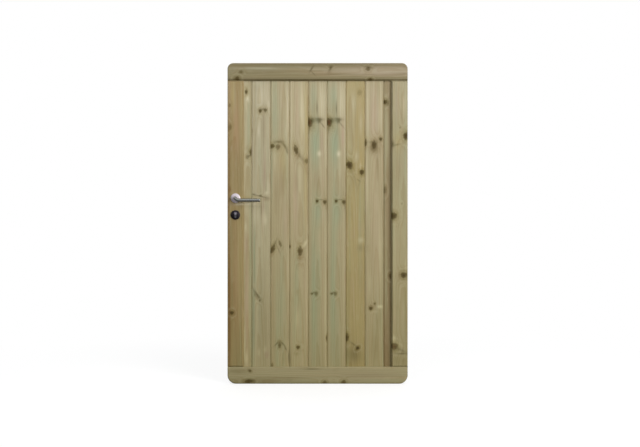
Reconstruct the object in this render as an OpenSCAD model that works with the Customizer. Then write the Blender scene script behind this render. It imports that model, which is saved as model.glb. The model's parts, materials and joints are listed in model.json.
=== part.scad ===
// Framed garden gate leaf: tongue-and-groove boards housed in a tenoned timber frame,
// with a pair of lever handles, a mortice lock and a profile cylinder.
// Millimetres. +X runs towards the hinge edge, +Y towards the back of the gate, +Z up.
// The origin is on the flat hinge edge, at mid-thickness, at the height of the lower hinge.

/* [Leaf] */
// Overall width of the leaf
gate_w = 1000; // [700:5:1300]
// Overall height of the leaf
gate_h = 1780; // [1400:5:2200]
// Height of the lower hinge above the foot of the leaf
lower_hinge_h = 250; // [150:5:400]

/* [Frame] */
// Thickness of the rails and stiles
frame_t = 45; // [42:1:60]
// Width of each stile
stile_w = 90; // [86:1:130]
// Depth of the top rail
top_rail_h = 98; // [85:1:140]
// Depth of the bottom rail
bottom_rail_h = 94; // [85:1:160]
// Radius of the two upper outside corners
top_corner_r = 32; // [15:1:50]
// Radius of the two lower outside corners
bottom_corner_r = 48; // [15:1:60]
// Rounding of the outside edges, front and back
outer_arris_r = 6; // [2:0.5:8]
// Width, on each face, of the chamfers along the inside edges and the shoulders
inner_chamfer = 7; // [2:0.5:8]

/* [Frame joints] */
// Thickness of the stile tenons
tenon_t = 15; // [10:1:18]
// Length of the stile tenons
tenon_l = 60; // [30:1:65]
// Shoulder on each side of a tenon
tenon_shoulder = 15; // [14:1:25]
// Free space round a tenon
tenon_gap = 0.2; // [0.1:0.1:0.5]
// Glue space past the end of a tenon
glue_gap = 2; // [1:0.5:4]

/* [Boards] */
// Thickness of the boards
board_t = 18; // [16:1:20]
// Width that each whole board covers
board_cover = 105; // [80:1:140]
// Narrowest cut board that may stand beside a stile
least_board = 25; // [20:1:40]
// Face width and depth of the chamfers that make the V joints
v_chamfer = 6; // [2:0.5:6.5]
// Thickness of the tongues
tongue_t = 5; // [4:0.5:6]
// Length of the tongues
tongue_l = 6; // [4:0.5:8]
// Free space on each side of a tongue in its groove
tongue_gap = 0.2; // [0.1:0.1:0.4]
// Width of the open joint on the back of the boards
back_joint = 1; // [0.5:0.25:2]
// Depth of the grooves that house the boards in the frame
housing_d = 12; // [8:1:13]
// Free space on each face of the boards in those grooves
housing_gap = 0.2; // [0.1:0.1:0.5]
// Room for the boards to swell, at each stile and at the top
swelling_gap = 2; // [1:0.5:4]

/* [Lock] */
// Height of the spindle above the foot of the leaf
spindle_h = 1030; // [850:5:1150]
// Distance from the lock edge to the spindle
backset = 45; // [40:1:50]
// Distance from the spindle down to the cylinder's plug
lock_centres = 85; // [72:1:92]
// Side of the square spindle
spindle_side = 8; // [7:1:9]
// Thickness of the lock case
case_t = 15; // [13:1:17]
// Depth of the lock case behind the spindle
case_behind = 17; // [14:1:20]
// Height of the lock case above the spindle
case_above = 45; // [40:1:60]
// Depth of the lock case below the plug
case_below = 42; // [36:1:50]
// Width of the faceplate
faceplate_w = 24; // [20:1:26]
// Thickness of the faceplate
faceplate_t = 3; // [2:0.5:4]
// Length of the faceplate beyond each end of the case
faceplate_over = 30; // [22:1:40]
// Height of the latch bolt
latch_h = 32; // [24:1:36]
// Height of the dead bolt
dead_bolt_h = 34; // [26:1:36]
// Thickness of both bolts
bolt_t = 10; // [8:1:11]

/* [Lever handles] */
// Diameter of the round grip
grip_d = 20; // [19:1:24]
// Diameter of the bent neck that carries the grip
neck_d = 18; // [14:1:19]
// Distance from the spindle to the lever's tip
lever_l = 140; // [110:1:160]
// Straight neck in front of the rose
neck_l = 20; // [12:1:30]
// Centreline radius of the elbow
elbow_r = 14; // [12:1:22]
// Angle below the level at which the lever leaves the elbow
droop = 40; // [15:1:50]
// Centreline radius of the bend back to the level
sweep_r = 16; // [12:1:40]
// Diameter of the roses
rose_d = 52; // [50:1:56]
// Height of the rose's rim
rose_rim = 5; // [4:0.5:7]
// Rise of its domed face above the rim
rose_dome = 3; // [1:0.5:4]

/* [Cylinder] */
// Diameter of the cylinder's round part
cylinder_d = 17; // [16:0.5:18]
// Width of the cylinder's web
web_w = 10; // [9:0.5:11]
// Overall height of the cylinder's profile
cylinder_h = 33; // [31:0.5:34]
// Diameter of the plugs
plug_d = 13; // [11:0.5:14]
// Length by which the cylinder stands out of its roses
cylinder_proud = 1.5; // [0.5:0.5:3]
// Width of the keyways
keyway_w = 2.2; // [1.6:0.2:3]

/* [Hidden] */
$fn = 96;
cut = 1; // how far a cutting shape runs past what it cuts

// Leaf
lock_edge_x = -gate_w;
back_y = frame_t / 2;
foot_z = -lower_hinge_h;
head_z = foot_z + gate_h;

// Sight opening inside the frame
sight_left = lock_edge_x + stile_w;
sight_right = -stile_w;
sight_foot = foot_z + bottom_rail_h;
sight_head = head_z - top_rail_h;
stile_l = sight_head - sight_foot;

// Boards: whole ones in the middle and an equal cut one at each side
whole_boards = floor((sight_right - sight_left - 2 * least_board) / board_cover);
board_count = whole_boards + 2;
cut_board_w = (sight_right - sight_left - whole_boards * board_cover) / 2;
board_front = -board_t / 2;
board_back = board_t / 2;
board_foot = sight_foot - housing_d;
board_head = sight_head + housing_d - swelling_gap;
tongue_front = (board_front + v_chamfer + board_back - tongue_t) / 2; // midway between the V and the back
tongue_back = tongue_front + tongue_t;
housing_w = board_t + 2 * housing_gap;

// Lock
spindle_x = lock_edge_x + backset;
spindle_z = foot_z + spindle_h;
plug_z = spindle_z - lock_centres;
case_gap = 0.3;
case_x0 = lock_edge_x + faceplate_t;
case_x1 = spindle_x + case_behind;
case_z0 = plug_z - case_below;
case_z1 = spindle_z + case_above;
faceplate_l = case_z1 - case_z0 + 2 * faceplate_over;
faceplate_mid_z = (case_z0 + case_z1) / 2;
bolt_gap = 0.2;
bolt_l = 28;
latch_nose = 9; // length of the latch bolt's bevel
latch_tip = 1; // thickness of the latch bolt at its tip
latch_z = spindle_z;
dead_bolt_z = (spindle_z + plug_z) / 2;
screw_d = 5;
screw_head_d = 9;
screw_from_end = 12;
fixing_screw_z = plug_z - cylinder_h / 2;
follower_d = 20;
follower_gap = 0.1;
follower_room = 1; // free space round the follower in the stile
spindle_gap = 0.1;
spindle_hole_d = follower_d + 2 * follower_room;

// Lever handles, measured outwards from the face of the frame
neck_gap = 0.1;
neck_start = 0.5;
rose_t = rose_rim + rose_dome;
neck_end = rose_t + neck_l;
grip_out = neck_end + elbow_r;
grip_overlap = 2; // length of the neck's end that the grip covers
grip_start = elbow_r * cos(droop) + sweep_r * sin(droop) - grip_overlap;
grip_drop = elbow_r * sin(droop) + sweep_r * (1 - cos(droop));
grip_end_r = 3;
socket_floor = 2; // what is left of the neck past the spindle's socket
socket_l = neck_end - socket_floor;
dome_r = (pow(rose_d / 2, 2) + pow(rose_dome, 2)) / (2 * rose_dome);

// Cylinder
cylinder_l = frame_t + 2 * (rose_t + cylinder_proud);
profile_gap = 0.3;
profile_mid = (cylinder_h - cylinder_d) / 2; // how far the profile's middle is below the plug
plug_gap = 0.1;
plug_l = 26;
keyway_h = 8;
keyway_l = 22;

wood = [0.66, 0.61, 0.45];
brown_wood = [0.59, 0.50, 0.35];
steel = [0.72, 0.72, 0.72];
dark_steel = [0.16, 0.15, 0.16];
nickel = [0.60, 0.58, 0.56];

// ---- Shared shapes ----

// A box between two opposite corners.
module box(a, b) {
    translate(a) cube(b - a);
}

// A shape, and the same on the other face of the gate.
module both_faces() {
    children();
    mirror([0, 1, 0]) children();
}

// The shape's mirror image on the lock side of the leaf.
module on_lock_side() {
    translate([-gate_w, 0, 0]) mirror([1, 0, 0]) children();
}

// A shape, and the same at the lock side.
module both_sides() {
    children();
    on_lock_side() children();
}

// A shape whose own Z points straight out of the front of the frame, above the point x, z.
module on_front(x, z) {
    translate([x, -back_y, z]) rotate([90, 0, 0]) children();
}

module on_back(x, z) {
    mirror([0, 1, 0]) on_front(x, z) children();
}

// A flat shape in X and Z, made solid through the depth d, centred on the leaf.
module through(x, z, d) {
    translate([x, 0, z]) rotate([90, 0, 0]) linear_extrude(d, center = true) children();
}

// What is cut off outside a quarter circle of radius r.
module round_off(r) {
    difference() {
        square(r + cut);
        circle(r);
    }
}

// Waste that rounds an upright edge: the edge rises from the origin, its corner towards +X and +Y.
module upright_rounding(r, l) {
    translate([-r, -r, 0]) linear_extrude(l) round_off(r);
}

// Waste that chamfers the same edge at 45 degrees, c wide on each face.
module upright_chamfer(c, l) {
    linear_extrude(l) polygon([[-c - cut, cut], [cut, cut], [cut, -c - cut]]);
}

// The waste of an upright edge, laid level: it runs from the origin towards -X, its corner towards +Y and +Z.
module laid_level() {
    rotate([0, -90, 0]) children();
}

// ---- Frame ----

// A rail with its inside edge at z = 0 and its outside edge at z = depth.
module rail(depth, corner_r) {
    difference() {
        box([-gate_w, -back_y, 0], [0, back_y, depth]);
        box([sight_left - housing_d, -housing_w / 2, -cut], [sight_right + housing_d, housing_w / 2, housing_d]);
        both_sides() {
            box([tenon_shoulder - stile_w - tenon_gap, -tenon_t / 2 - tenon_gap, -cut],
                [tenon_gap - tenon_shoulder, tenon_t / 2 + tenon_gap, tenon_l + glue_gap]);
            through(-corner_r, depth - corner_r, frame_t + 2 * cut) round_off(corner_r);
            both_faces() {
                translate([-corner_r, back_y - outer_arris_r, depth - corner_r]) rotate([90, 0, 0]) mirror([0, 0, 1])
                    rotate_extrude(angle = 90) translate([corner_r - outer_arris_r, 0]) round_off(outer_arris_r);
                translate([0, back_y, 0]) upright_rounding(outer_arris_r, depth - corner_r);
            }
        }
        both_faces() {
            translate([-corner_r, back_y, depth]) laid_level() upright_rounding(outer_arris_r, gate_w - 2 * corner_r);
            translate([cut, back_y, 0]) mirror([0, 0, 1]) laid_level()
                upright_chamfer(inner_chamfer, gate_w + 2 * cut);
        }
    }
}

module top_rail() {
    color(brown_wood) translate([0, 0, sight_head]) rail(top_rail_h, top_corner_r);
}

module bottom_rail() {
    color(wood) translate([0, 0, sight_foot]) mirror([0, 0, 1]) rail(bottom_rail_h, bottom_corner_r);
}

// A stile as it stands at the hinge side, with its tenons and the groove for the boards.
module stile() {
    difference() {
        box([-stile_w, -back_y, sight_foot], [0, back_y, sight_head]);
        box([-stile_w - cut, -housing_w / 2, sight_foot - cut], [housing_d - stile_w, housing_w / 2, sight_head + cut]);
        both_faces() {
            translate([0, back_y, sight_foot - cut]) upright_rounding(outer_arris_r, stile_l + 2 * cut);
            translate([-stile_w, back_y, sight_foot - cut]) mirror([1, 0, 0])
                upright_chamfer(inner_chamfer, stile_l + 2 * cut);
            translate([cut, back_y, sight_head]) laid_level() upright_chamfer(inner_chamfer, stile_w + 2 * cut);
            translate([cut, back_y, sight_foot]) mirror([0, 0, 1]) laid_level()
                upright_chamfer(inner_chamfer, stile_w + 2 * cut);
        }
    }
    box([tenon_shoulder - stile_w, -tenon_t / 2, sight_head], [-tenon_shoulder, tenon_t / 2, sight_head + tenon_l]);
    box([tenon_shoulder - stile_w, -tenon_t / 2, sight_foot - tenon_l], [-tenon_shoulder, tenon_t / 2, sight_foot]);
}

module hinge_stile() {
    color(wood) stile();
}

module lock_stile() {
    color(brown_wood) difference() {
        on_lock_side() stile();
        box([lock_edge_x - cut, -case_t / 2 - case_gap, case_z0 - case_gap],
            [case_x1 + case_gap, case_t / 2 + case_gap, case_z1 + case_gap]);
        translate([lock_edge_x - cut, 0, 0]) faceplate_blank(faceplate_t + cut, case_gap);
        through(spindle_x, spindle_z, frame_t + 2 * cut) circle(d = spindle_hole_d);
        through(spindle_x, plug_z, frame_t + 2 * cut) cylinder_profile(profile_gap);
    }
}

// ---- Boards ----

// Where board i ends and the next one begins.
function joint_x(i) = sight_left + cut_board_w + (i - 1) * board_cover;

// Grooved edge of a board at x, from the front face round to the back face.
function grooved_edge(x) = [
    [x + v_chamfer, board_front],
    [x, board_front + v_chamfer],
    [x, tongue_front - tongue_gap],
    [x + tongue_l + tongue_gap, tongue_front - tongue_gap],
    [x + tongue_l + tongue_gap, tongue_back + tongue_gap],
    [x + back_joint / 2, tongue_back + tongue_gap],
    [x + back_joint / 2, board_back]
];

// Tongued edge of a board at x, from the back face round to the front face.
function tongued_edge(x) = [
    [x - back_joint / 2, board_back],
    [x - back_joint / 2, tongue_back],
    [x + tongue_l, tongue_back],
    [x + tongue_l, tongue_front],
    [x, tongue_front],
    [x, board_front + v_chamfer],
    [x - v_chamfer, board_front]
];

// Plain edge of a board, housed in a stile.
function plain_edge(x) = [[x, board_front], [x, board_back]];

module board(i) {
    housed_left = sight_left - housing_d + swelling_gap;
    housed_right = sight_right + housing_d - swelling_gap;
    left = i == 1 ? plain_edge(housed_left) : grooved_edge(joint_x(i - 1));
    right = i == board_count ? [[housed_right, board_back], [housed_right, board_front]] : tongued_edge(joint_x(i));
    color(wood) translate([0, 0, board_foot]) linear_extrude(board_head - board_foot) polygon(concat(left, right));
}

// ---- Lock ----

// The faceplate's outline with round ends, from x = 0 inwards, with a margin all round.
module faceplate_blank(t, margin) {
    straight = faceplate_l - faceplate_w;
    translate([0, 0, faceplate_mid_z]) rotate([0, 90, 0]) linear_extrude(t) {
        square([straight, faceplate_w + 2 * margin], center = true);
        for (side = [-1, 1]) translate([side * straight / 2, 0]) circle(d = faceplate_w + 2 * margin);
    }
}

// A bolt of height h that is drawn in, flush with the faceplate, with a margin all round.
module bolt(z, h, margin) {
    box([lock_edge_x, -bolt_t / 2 - margin, z - h / 2 - margin],
        [lock_edge_x + bolt_l + margin, bolt_t / 2 + margin, z + h / 2 + margin]);
}

// Both bolts' holes, open at the lock edge.
module bolt_holes() {
    for (x = [-cut, 0]) translate([x, 0, 0]) {
        bolt(latch_z, latch_h, bolt_gap);
        bolt(dead_bolt_z, dead_bolt_h, bolt_gap);
    }
}

module lock_case() {
    color(steel) difference() {
        box([case_x0, -case_t / 2, case_z0], [case_x1, case_t / 2, case_z1]);
        bolt_holes();
        through(spindle_x, spindle_z, case_t + 2 * cut) circle(d = follower_d + 2 * follower_gap);
        through(spindle_x, plug_z, case_t + 2 * cut) cylinder_profile(profile_gap);
    }
}

module lock_faceplate() {
    color(steel) difference() {
        translate([lock_edge_x, 0, 0]) faceplate_blank(faceplate_t, 0);
        bolt_holes();
        for (side = [-1, 1])
            translate([lock_edge_x, 0, faceplate_mid_z + side * (faceplate_l / 2 - screw_from_end)])
                countersunk_hole();
        translate([lock_edge_x, 0, fixing_screw_z]) countersunk_hole();
    }
}

// A screw hole with its countersink at the lock edge.
module countersunk_hole() {
    rotate([0, 90, 0]) {
        translate([0, 0, -cut]) cylinder(d = screw_d, h = faceplate_t + 2 * cut);
        cylinder(d1 = screw_head_d, d2 = screw_d, h = (screw_head_d - screw_d) / 2);
    }
}

module latch_bolt() {
    color(nickel) difference() {
        bolt(latch_z, latch_h, 0);
        translate([lock_edge_x, -bolt_t / 2, latch_z - latch_h / 2 - cut])
            linear_extrude(latch_h + 2 * cut)
                polygon([[-cut, -cut], [latch_nose, -cut], [latch_nose, 0], [0, bolt_t - latch_tip],
                    [-cut, bolt_t - latch_tip]]);
    }
}

module dead_bolt() {
    color(nickel) bolt(dead_bolt_z, dead_bolt_h, 0);
}

// ---- Lever handles ----

// A rose with its flat back on the frame, domed in front.
module rose() {
    difference() {
        intersection() {
            cylinder(d = rose_d, h = rose_t);
            translate([0, 0, rose_t - dome_r]) sphere(dome_r, $fn = 360);
        }
        children();
    }
}

module lever_rose() {
    color(steel) rose() translate([0, 0, -cut]) cylinder(d = neck_d + 2 * neck_gap, h = rose_t + 2 * cut);
}

module front_lever_rose() {
    on_front(spindle_x, spindle_z) lever_rose();
}

module back_lever_rose() {
    on_back(spindle_x, spindle_z) lever_rose();
}

// A round bar along its own Z, with its far edge rounded.
module round_ended_bar(d, l, r) {
    rotate_extrude() difference() {
        square([d / 2, l]);
        translate([d / 2 - r, l - r]) round_off(r);
    }
}

// The lever's neck, its elbow and the bend back to the level, which ends inside the grip.
module bent_neck() {
    translate([0, 0, neck_start]) cylinder(d = neck_d, h = neck_end - neck_start);
    rotate([0, 0, -droop]) {
        translate([elbow_r, 0, neck_end]) mirror([1, 0, 0]) rotate([90, 0, 0])
            rotate_extrude(angle = 90) translate([elbow_r, 0]) circle(d = neck_d);
        translate([elbow_r, sweep_r, grip_out]) rotate([0, 0, -90])
            rotate_extrude(angle = droop) translate([sweep_r, 0]) circle(d = neck_d);
    }
}

// A lever that points towards +X.
module lever() {
    color(steel) difference() {
        union() {
            bent_neck();
            translate([grip_start, -grip_drop, grip_out]) rotate([0, 90, 0])
                round_ended_bar(grip_d, lever_l - grip_start, grip_end_r);
        }
        translate([-spindle_side / 2 - spindle_gap, -spindle_side / 2 - spindle_gap, 0])
            cube([spindle_side + 2 * spindle_gap, spindle_side + 2 * spindle_gap, socket_l]);
    }
}

module front_lever() {
    on_front(spindle_x, spindle_z) lever();
}

module back_lever() {
    on_back(spindle_x, spindle_z) lever();
}

module spindle() {
    half_l = back_y + socket_l - cut;
    color(steel) box([spindle_x - spindle_side / 2, -half_l, spindle_z - spindle_side / 2],
        [spindle_x + spindle_side / 2, half_l, spindle_z + spindle_side / 2]);
}

module lock_follower() {
    color(steel) through(spindle_x, spindle_z, case_t) difference() {
        circle(d = follower_d);
        square(spindle_side + 2 * spindle_gap, center = true);
    }
}

// ---- Cylinder ----

// The cylinder's profile about its plug, the web downwards, with a margin all round.
module cylinder_profile(margin) {
    web_foot = cylinder_d / 2 - cylinder_h + web_w / 2;
    circle(d = cylinder_d + 2 * margin);
    translate([0, web_foot]) circle(d = web_w + 2 * margin);
    translate([-web_w / 2 - margin, web_foot]) square([web_w + 2 * margin, -web_foot]);
}

module cylinder_rose() {
    color(dark_steel) rose() translate([0, profile_mid, -cut]) linear_extrude(rose_t + 2 * cut)
        cylinder_profile(profile_gap);
}

module front_cylinder_rose() {
    on_front(spindle_x, plug_z - profile_mid) cylinder_rose();
}

module back_cylinder_rose() {
    on_back(spindle_x, plug_z - profile_mid) cylinder_rose();
}

module lock_cylinder() {
    bore_l = plug_l + plug_gap;
    color(nickel) difference() {
        through(spindle_x, plug_z, cylinder_l) cylinder_profile(0);
        both_faces() translate([spindle_x, cylinder_l / 2 - bore_l, plug_z]) rotate([-90, 0, 0])
            cylinder(d = plug_d + 2 * plug_gap, h = bore_l + cut);
    }
}

// A plug of the cylinder, flush with its front end, with the keyway open outwards.
module plug() {
    color(nickel) translate([0, 0, cylinder_l / 2 - back_y - plug_l]) difference() {
        cylinder(d = plug_d, h = plug_l);
        translate([-keyway_w / 2, -keyway_h / 2, plug_l - keyway_l])
            cube([keyway_w, keyway_h, keyway_l + cut]);
    }
}

module front_plug() {
    on_front(spindle_x, plug_z) plug();
}

module back_plug() {
    on_back(spindle_x, plug_z) plug();
}

// ---- Nodes ----

top_rail();
bottom_rail();
lock_stile();
hinge_stile();
for (i = [1:board_count])
    board(i);
lock_case();
lock_faceplate();
latch_bolt();
dead_bolt();
front_lever_rose();
back_lever_rose();
front_cylinder_rose();
back_cylinder_rose();
lock_cylinder();
front_plug();
back_plug();
front_lever();
back_lever();
spindle();
lock_follower();
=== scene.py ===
"""Looks of a framed garden gate leaf: its timber, lever handles, lock and cylinder."""

import json
import logging
import math
from collections.abc import Sequence
from dataclasses import dataclass
from enum import Enum

import bmesh
import bpy
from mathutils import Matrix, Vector


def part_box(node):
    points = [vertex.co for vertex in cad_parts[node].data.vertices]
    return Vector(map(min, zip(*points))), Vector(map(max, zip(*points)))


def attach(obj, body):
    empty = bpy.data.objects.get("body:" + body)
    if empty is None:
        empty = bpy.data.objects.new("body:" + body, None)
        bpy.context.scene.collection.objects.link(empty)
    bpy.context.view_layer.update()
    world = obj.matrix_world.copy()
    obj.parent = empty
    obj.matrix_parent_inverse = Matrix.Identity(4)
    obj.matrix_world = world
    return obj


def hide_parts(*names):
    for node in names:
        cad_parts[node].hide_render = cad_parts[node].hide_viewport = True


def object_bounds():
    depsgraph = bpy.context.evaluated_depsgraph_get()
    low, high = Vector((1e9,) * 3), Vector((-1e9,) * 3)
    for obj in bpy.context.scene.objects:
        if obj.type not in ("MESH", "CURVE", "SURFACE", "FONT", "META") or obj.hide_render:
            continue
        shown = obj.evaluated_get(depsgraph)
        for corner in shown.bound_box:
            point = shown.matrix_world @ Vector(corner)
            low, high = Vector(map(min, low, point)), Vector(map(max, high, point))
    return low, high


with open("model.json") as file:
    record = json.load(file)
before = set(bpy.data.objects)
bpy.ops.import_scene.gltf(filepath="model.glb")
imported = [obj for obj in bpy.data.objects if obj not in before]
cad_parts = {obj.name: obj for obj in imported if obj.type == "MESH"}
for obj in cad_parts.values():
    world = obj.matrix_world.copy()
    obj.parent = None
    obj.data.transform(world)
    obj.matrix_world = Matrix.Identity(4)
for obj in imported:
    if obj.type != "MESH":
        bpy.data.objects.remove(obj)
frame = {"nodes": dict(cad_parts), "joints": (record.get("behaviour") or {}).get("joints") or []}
CAD_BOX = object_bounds()
LEAF_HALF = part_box("hinge_stile")[1].y

MM = 0.001
LEAF = "leaf"
HANDLE = "handle"
Colour = tuple[float, float, float]
Place = tuple[float, float, float]
log = logging.getLogger("gate")


# ---- Shader graphs ----


class Graph:
    """A shader node tree, with a short method for each kind of node that the finishes use."""

    def __init__(self, tree: bpy.types.NodeTree) -> None:
        """Empty the tree.

        Args:
            tree: the node tree of a material, a world or a node group.
        """
        self.tree = tree
        self.tree.nodes.clear()

    def node(self, kind: str, inputs: dict | None = None, **settings: object) -> bpy.types.Node:
        """Add a node.

        Args:
            kind: the node's type, without the leading ShaderNode.
            inputs: values or sockets by the input's name or number.
            settings: the node's own properties.

        Returns:
            The new node.
        """
        made = self.tree.nodes.new("ShaderNode" + kind)
        for name, value in settings.items():
            setattr(made, name, value)
        for name, value in (inputs or {}).items():
            self.feed(made.inputs[name], value)
        return made

    def feed(self, socket: bpy.types.NodeSocket, value: object) -> None:
        """Link a socket to another, or set its value.

        Args:
            socket: the input.
            value: an output socket, a number or a tuple.
        """
        if isinstance(value, bpy.types.NodeSocket):
            self.tree.links.new(value, socket)
        elif isinstance(value, tuple) and len(value) == 3 and socket.type == "RGBA":
            socket.default_value = (*value, 1.0)
        else:
            socket.default_value = value

    def math(self, operation: str, *values: object) -> bpy.types.NodeSocket:
        """Return the result of a Math node on one to three values."""
        return self.node("Math", dict(enumerate(values)), operation=operation).outputs[0]

    def add(self, a: object, b: object) -> bpy.types.NodeSocket:
        """Return a + b."""
        return self.math("ADD", a, b)

    def times(self, a: object, b: object) -> bpy.types.NodeSocket:
        """Return a * b."""
        return self.math("MULTIPLY", a, b)

    def scaled(self, a: object, factor: object, offset: object) -> bpy.types.NodeSocket:
        """Return a * factor + offset."""
        return self.math("MULTIPLY_ADD", a, factor, offset)

    def step(self, value: object, low: float, high: float) -> bpy.types.NodeSocket:
        """Step smoothly from 0 to 1.

        Args:
            value: what is looked at.
            low: the value that gives 0.
            high: the value that gives 1, which may be less than low.

        Returns:
            The step, from 0 to 1.
        """
        flip = low > high
        ends = {"Value": value, "From Min": min(low, high), "From Max": max(low, high),
                "To Min": 1.0 if flip else 0.0, "To Max": 0.0 if flip else 1.0}
        return self.node("MapRange", ends, interpolation_type="SMOOTHSTEP").outputs[0]

    def bell(self, value: object, width: float) -> bpy.types.NodeSocket:
        """Return a bell curve of value, 1 at nought and about a third at width."""
        squared = self.math("POWER", self.math("ABSOLUTE", self.math("DIVIDE", value, width)), 2.0)
        return self.math("EXPONENT", self.times(squared, -1.0))

    def mix(self, factor: object, a: object, b: object, blend: str = "MIX") -> bpy.types.NodeSocket:
        """Return colour a blended towards colour b by factor."""
        made = self.node("Mix", {0: factor, 6: a, 7: b}, data_type="RGBA", blend_type=blend)
        return made.outputs[2]

    def shade(self, colour: object, value: object) -> bpy.types.NodeSocket:
        """Return colour made lighter or darker by a factor."""
        grey = self.node("CombineColor", {0: value, 1: value, 2: value}).outputs[0]
        return self.mix(1.0, colour, grey, blend="MULTIPLY")

    def split(self, vector: object) -> tuple[bpy.types.NodeSocket, ...]:
        """Return the x, y and z of a vector."""
        return tuple(self.node("SeparateXYZ", {0: vector}).outputs)

    def join(self, x: object, y: object, z: object) -> bpy.types.NodeSocket:
        """Return the vector x, y, z."""
        return self.node("CombineXYZ", {0: x, 1: y, 2: z}).outputs[0]

    def stretch(self, place: Sequence[object], by: Sequence[float]) -> bpy.types.NodeSocket:
        """Return the vector of a place's x, y and z, each times its own factor."""
        return self.join(*(self.times(part, factor) for part, factor in zip(place, by)))

    def weigh(self, base: object, signals: dict[str, object], weights: dict[str, float]) -> object:
        """Add up signals by weight.

        Args:
            base: what the sum starts from.
            signals: sockets by name.
            weights: the weight of each signal that counts, by name.

        Returns:
            The sum.
        """
        for name, weight in weights.items():
            base = self.scaled(signals[name], weight, base)
        return base

    def noise(self, place: object, detail: float = 2.0, rough: float = 0.5) -> bpy.types.NodeSocket:
        """Return noise of unit size at a place, from about -1 to 1."""
        ends = {"Vector": place, "Scale": 1.0, "Detail": detail, "Roughness": rough}
        return self.scaled(self.node("TexNoise", ends).outputs[0], 2.0, -1.0)


def new_material(name: str) -> tuple[bpy.types.Material, Graph]:
    """Start a material.

    Args:
        name: its name.

    Returns:
        The material, and the empty graph of its nodes.
    """
    material = bpy.data.materials.new(name)
    material.use_nodes = True
    return material, Graph(material.node_tree)


# ---- Timber ----


class Tint(Enum):
    """Casts of pressure-treated softwood, as linear colours."""

    TAN = (0.330, 0.283, 0.158)
    CREAM = (0.430, 0.385, 0.235)
    PALE = (0.530, 0.480, 0.310)
    GREEN = (0.275, 0.300, 0.180)
    YELLOW = (0.335, 0.274, 0.122)
    GOLD = (0.350, 0.270, 0.110)
    PINK = (0.370, 0.285, 0.185)
    OLIVE = (0.255, 0.215, 0.105)
    GREY = (0.318, 0.280, 0.153)
    AMBER = (0.264, 0.203, 0.088)
    BROWN = (0.235, 0.178, 0.090)
    ORANGE = (0.310, 0.205, 0.100)
    UMBER = (0.098, 0.077, 0.027)
    RUST = (0.165, 0.085, 0.026)


class Grain(Enum):
    """Which way the fibres of a piece run."""

    UPRIGHT = "upright"
    LEVEL = "level"


class KnotKind(Enum):
    """Colour of a knot: still joined to the wood round it, or dead and loose."""

    LIVE = (0.085, 0.042, 0.010)
    DEAD = (0.056, 0.036, 0.005)


@dataclass(frozen=True)
class Knot:
    """A knot, placed in millimetres from the lock edge and above the foot.

    tilt turns its long axis away from the upright, in degrees.
    """

    x: float
    z: float
    radius: float
    kind: KnotKind = KnotKind.DEAD
    strength: float = 0.8
    stretch: float = 1.3
    tilt: float = 0.0


@dataclass(frozen=True)
class Patch:
    """A soft patch or stripe of another cast, placed and tilted as a knot is, in millimetres."""

    tint: Tint
    x: float
    z: float
    half_w: float
    half_h: float
    strength: float = 0.5
    tilt: float = 0.0


@dataclass(frozen=True)
class Timber:
    """How one piece of timber was sawn and what shows on it.

    pith is where the heart of the tree lay: across from the piece's middle, and behind its face.
    """

    tint: Tint
    pith: tuple[float, float]
    seed: float
    grain: Grain = Grain.UPRIGHT
    value: float = 1.0
    knots: tuple[Knot, ...] = ()
    patches: tuple[Patch, ...] = ()


@dataclass(frozen=True)
class Spot:
    """Where the shaded point is in the leaf, as sockets that give millimetres.

    across and along are measured from the lock edge or the foot, by which way the fibres run, and depth
    from half way through the leaf towards its back.
    """

    across: bpy.types.NodeSocket
    depth: bpy.types.NodeSocket
    along: bpy.types.NodeSocket


class MarkGroup:
    """A node group for marks on timber that are placed across and along the grain."""

    name: str
    sizes: tuple[str, ...]
    results: tuple[str, ...]

    def __init__(self) -> None:
        """Build the group once, for every mark of its kind to share."""
        self.tree = bpy.data.node_groups.new(self.name, "ShaderNodeTree")
        for name in ("Across", "Along", "Cosine", "Sine", "Strength", *self.sizes):
            self.tree.interface.new_socket(name, in_out="INPUT", socket_type="NodeSocketFloat")
        for name in self.results:
            self.tree.interface.new_socket(name, in_out="OUTPUT", socket_type="NodeSocketFloat")
        g = Graph(self.tree)
        given = g.tree.nodes.new("NodeGroupInput").outputs
        across, along, cosine, sine = given[:4]
        short = g.add(g.times(across, cosine), g.times(along, sine))
        long = g.math("SUBTRACT", g.times(along, cosine), g.times(across, sine))
        outputs = self.work(g, short, long, given[4], *given[5:5 + len(self.sizes)])
        ends = g.tree.nodes.new("NodeGroupOutput").inputs
        for socket, value in zip(ends, outputs):
            g.feed(socket, value)

    def work(self, g: Graph, short: object, long: object, strength: object, *sizes: object) -> tuple:
        """Return the group's results, one for each name."""
        raise NotImplementedError

    def mark(self, g: Graph, grain: Grain, spot: Spot, place: Knot | Patch,
             *sizes: object) -> dict[str, bpy.types.NodeSocket]:
        """Add one mark.

        Args:
            g: the graph of the material.
            grain: which way the piece's fibres run.
            spot: where the shaded point is.
            place: what gives the mark's place, tilt and strength.
            sizes: the values of the group's own inputs.

        Returns:
            The group's outputs by name.
        """
        centre = (place.x, place.z) if grain is Grain.UPRIGHT else (place.z, place.x)
        tilt = math.radians(place.tilt)
        group = g.node("Group", node_tree=self.tree)
        values = (g.add(spot.across, -centre[0]), g.add(spot.along, -centre[1]), math.cos(tilt),
                  math.sin(tilt), place.strength, *sizes)
        for socket, value in zip(group.inputs, values):
            g.feed(socket, value)
        return {socket.name: socket for socket in group.outputs}


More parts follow.
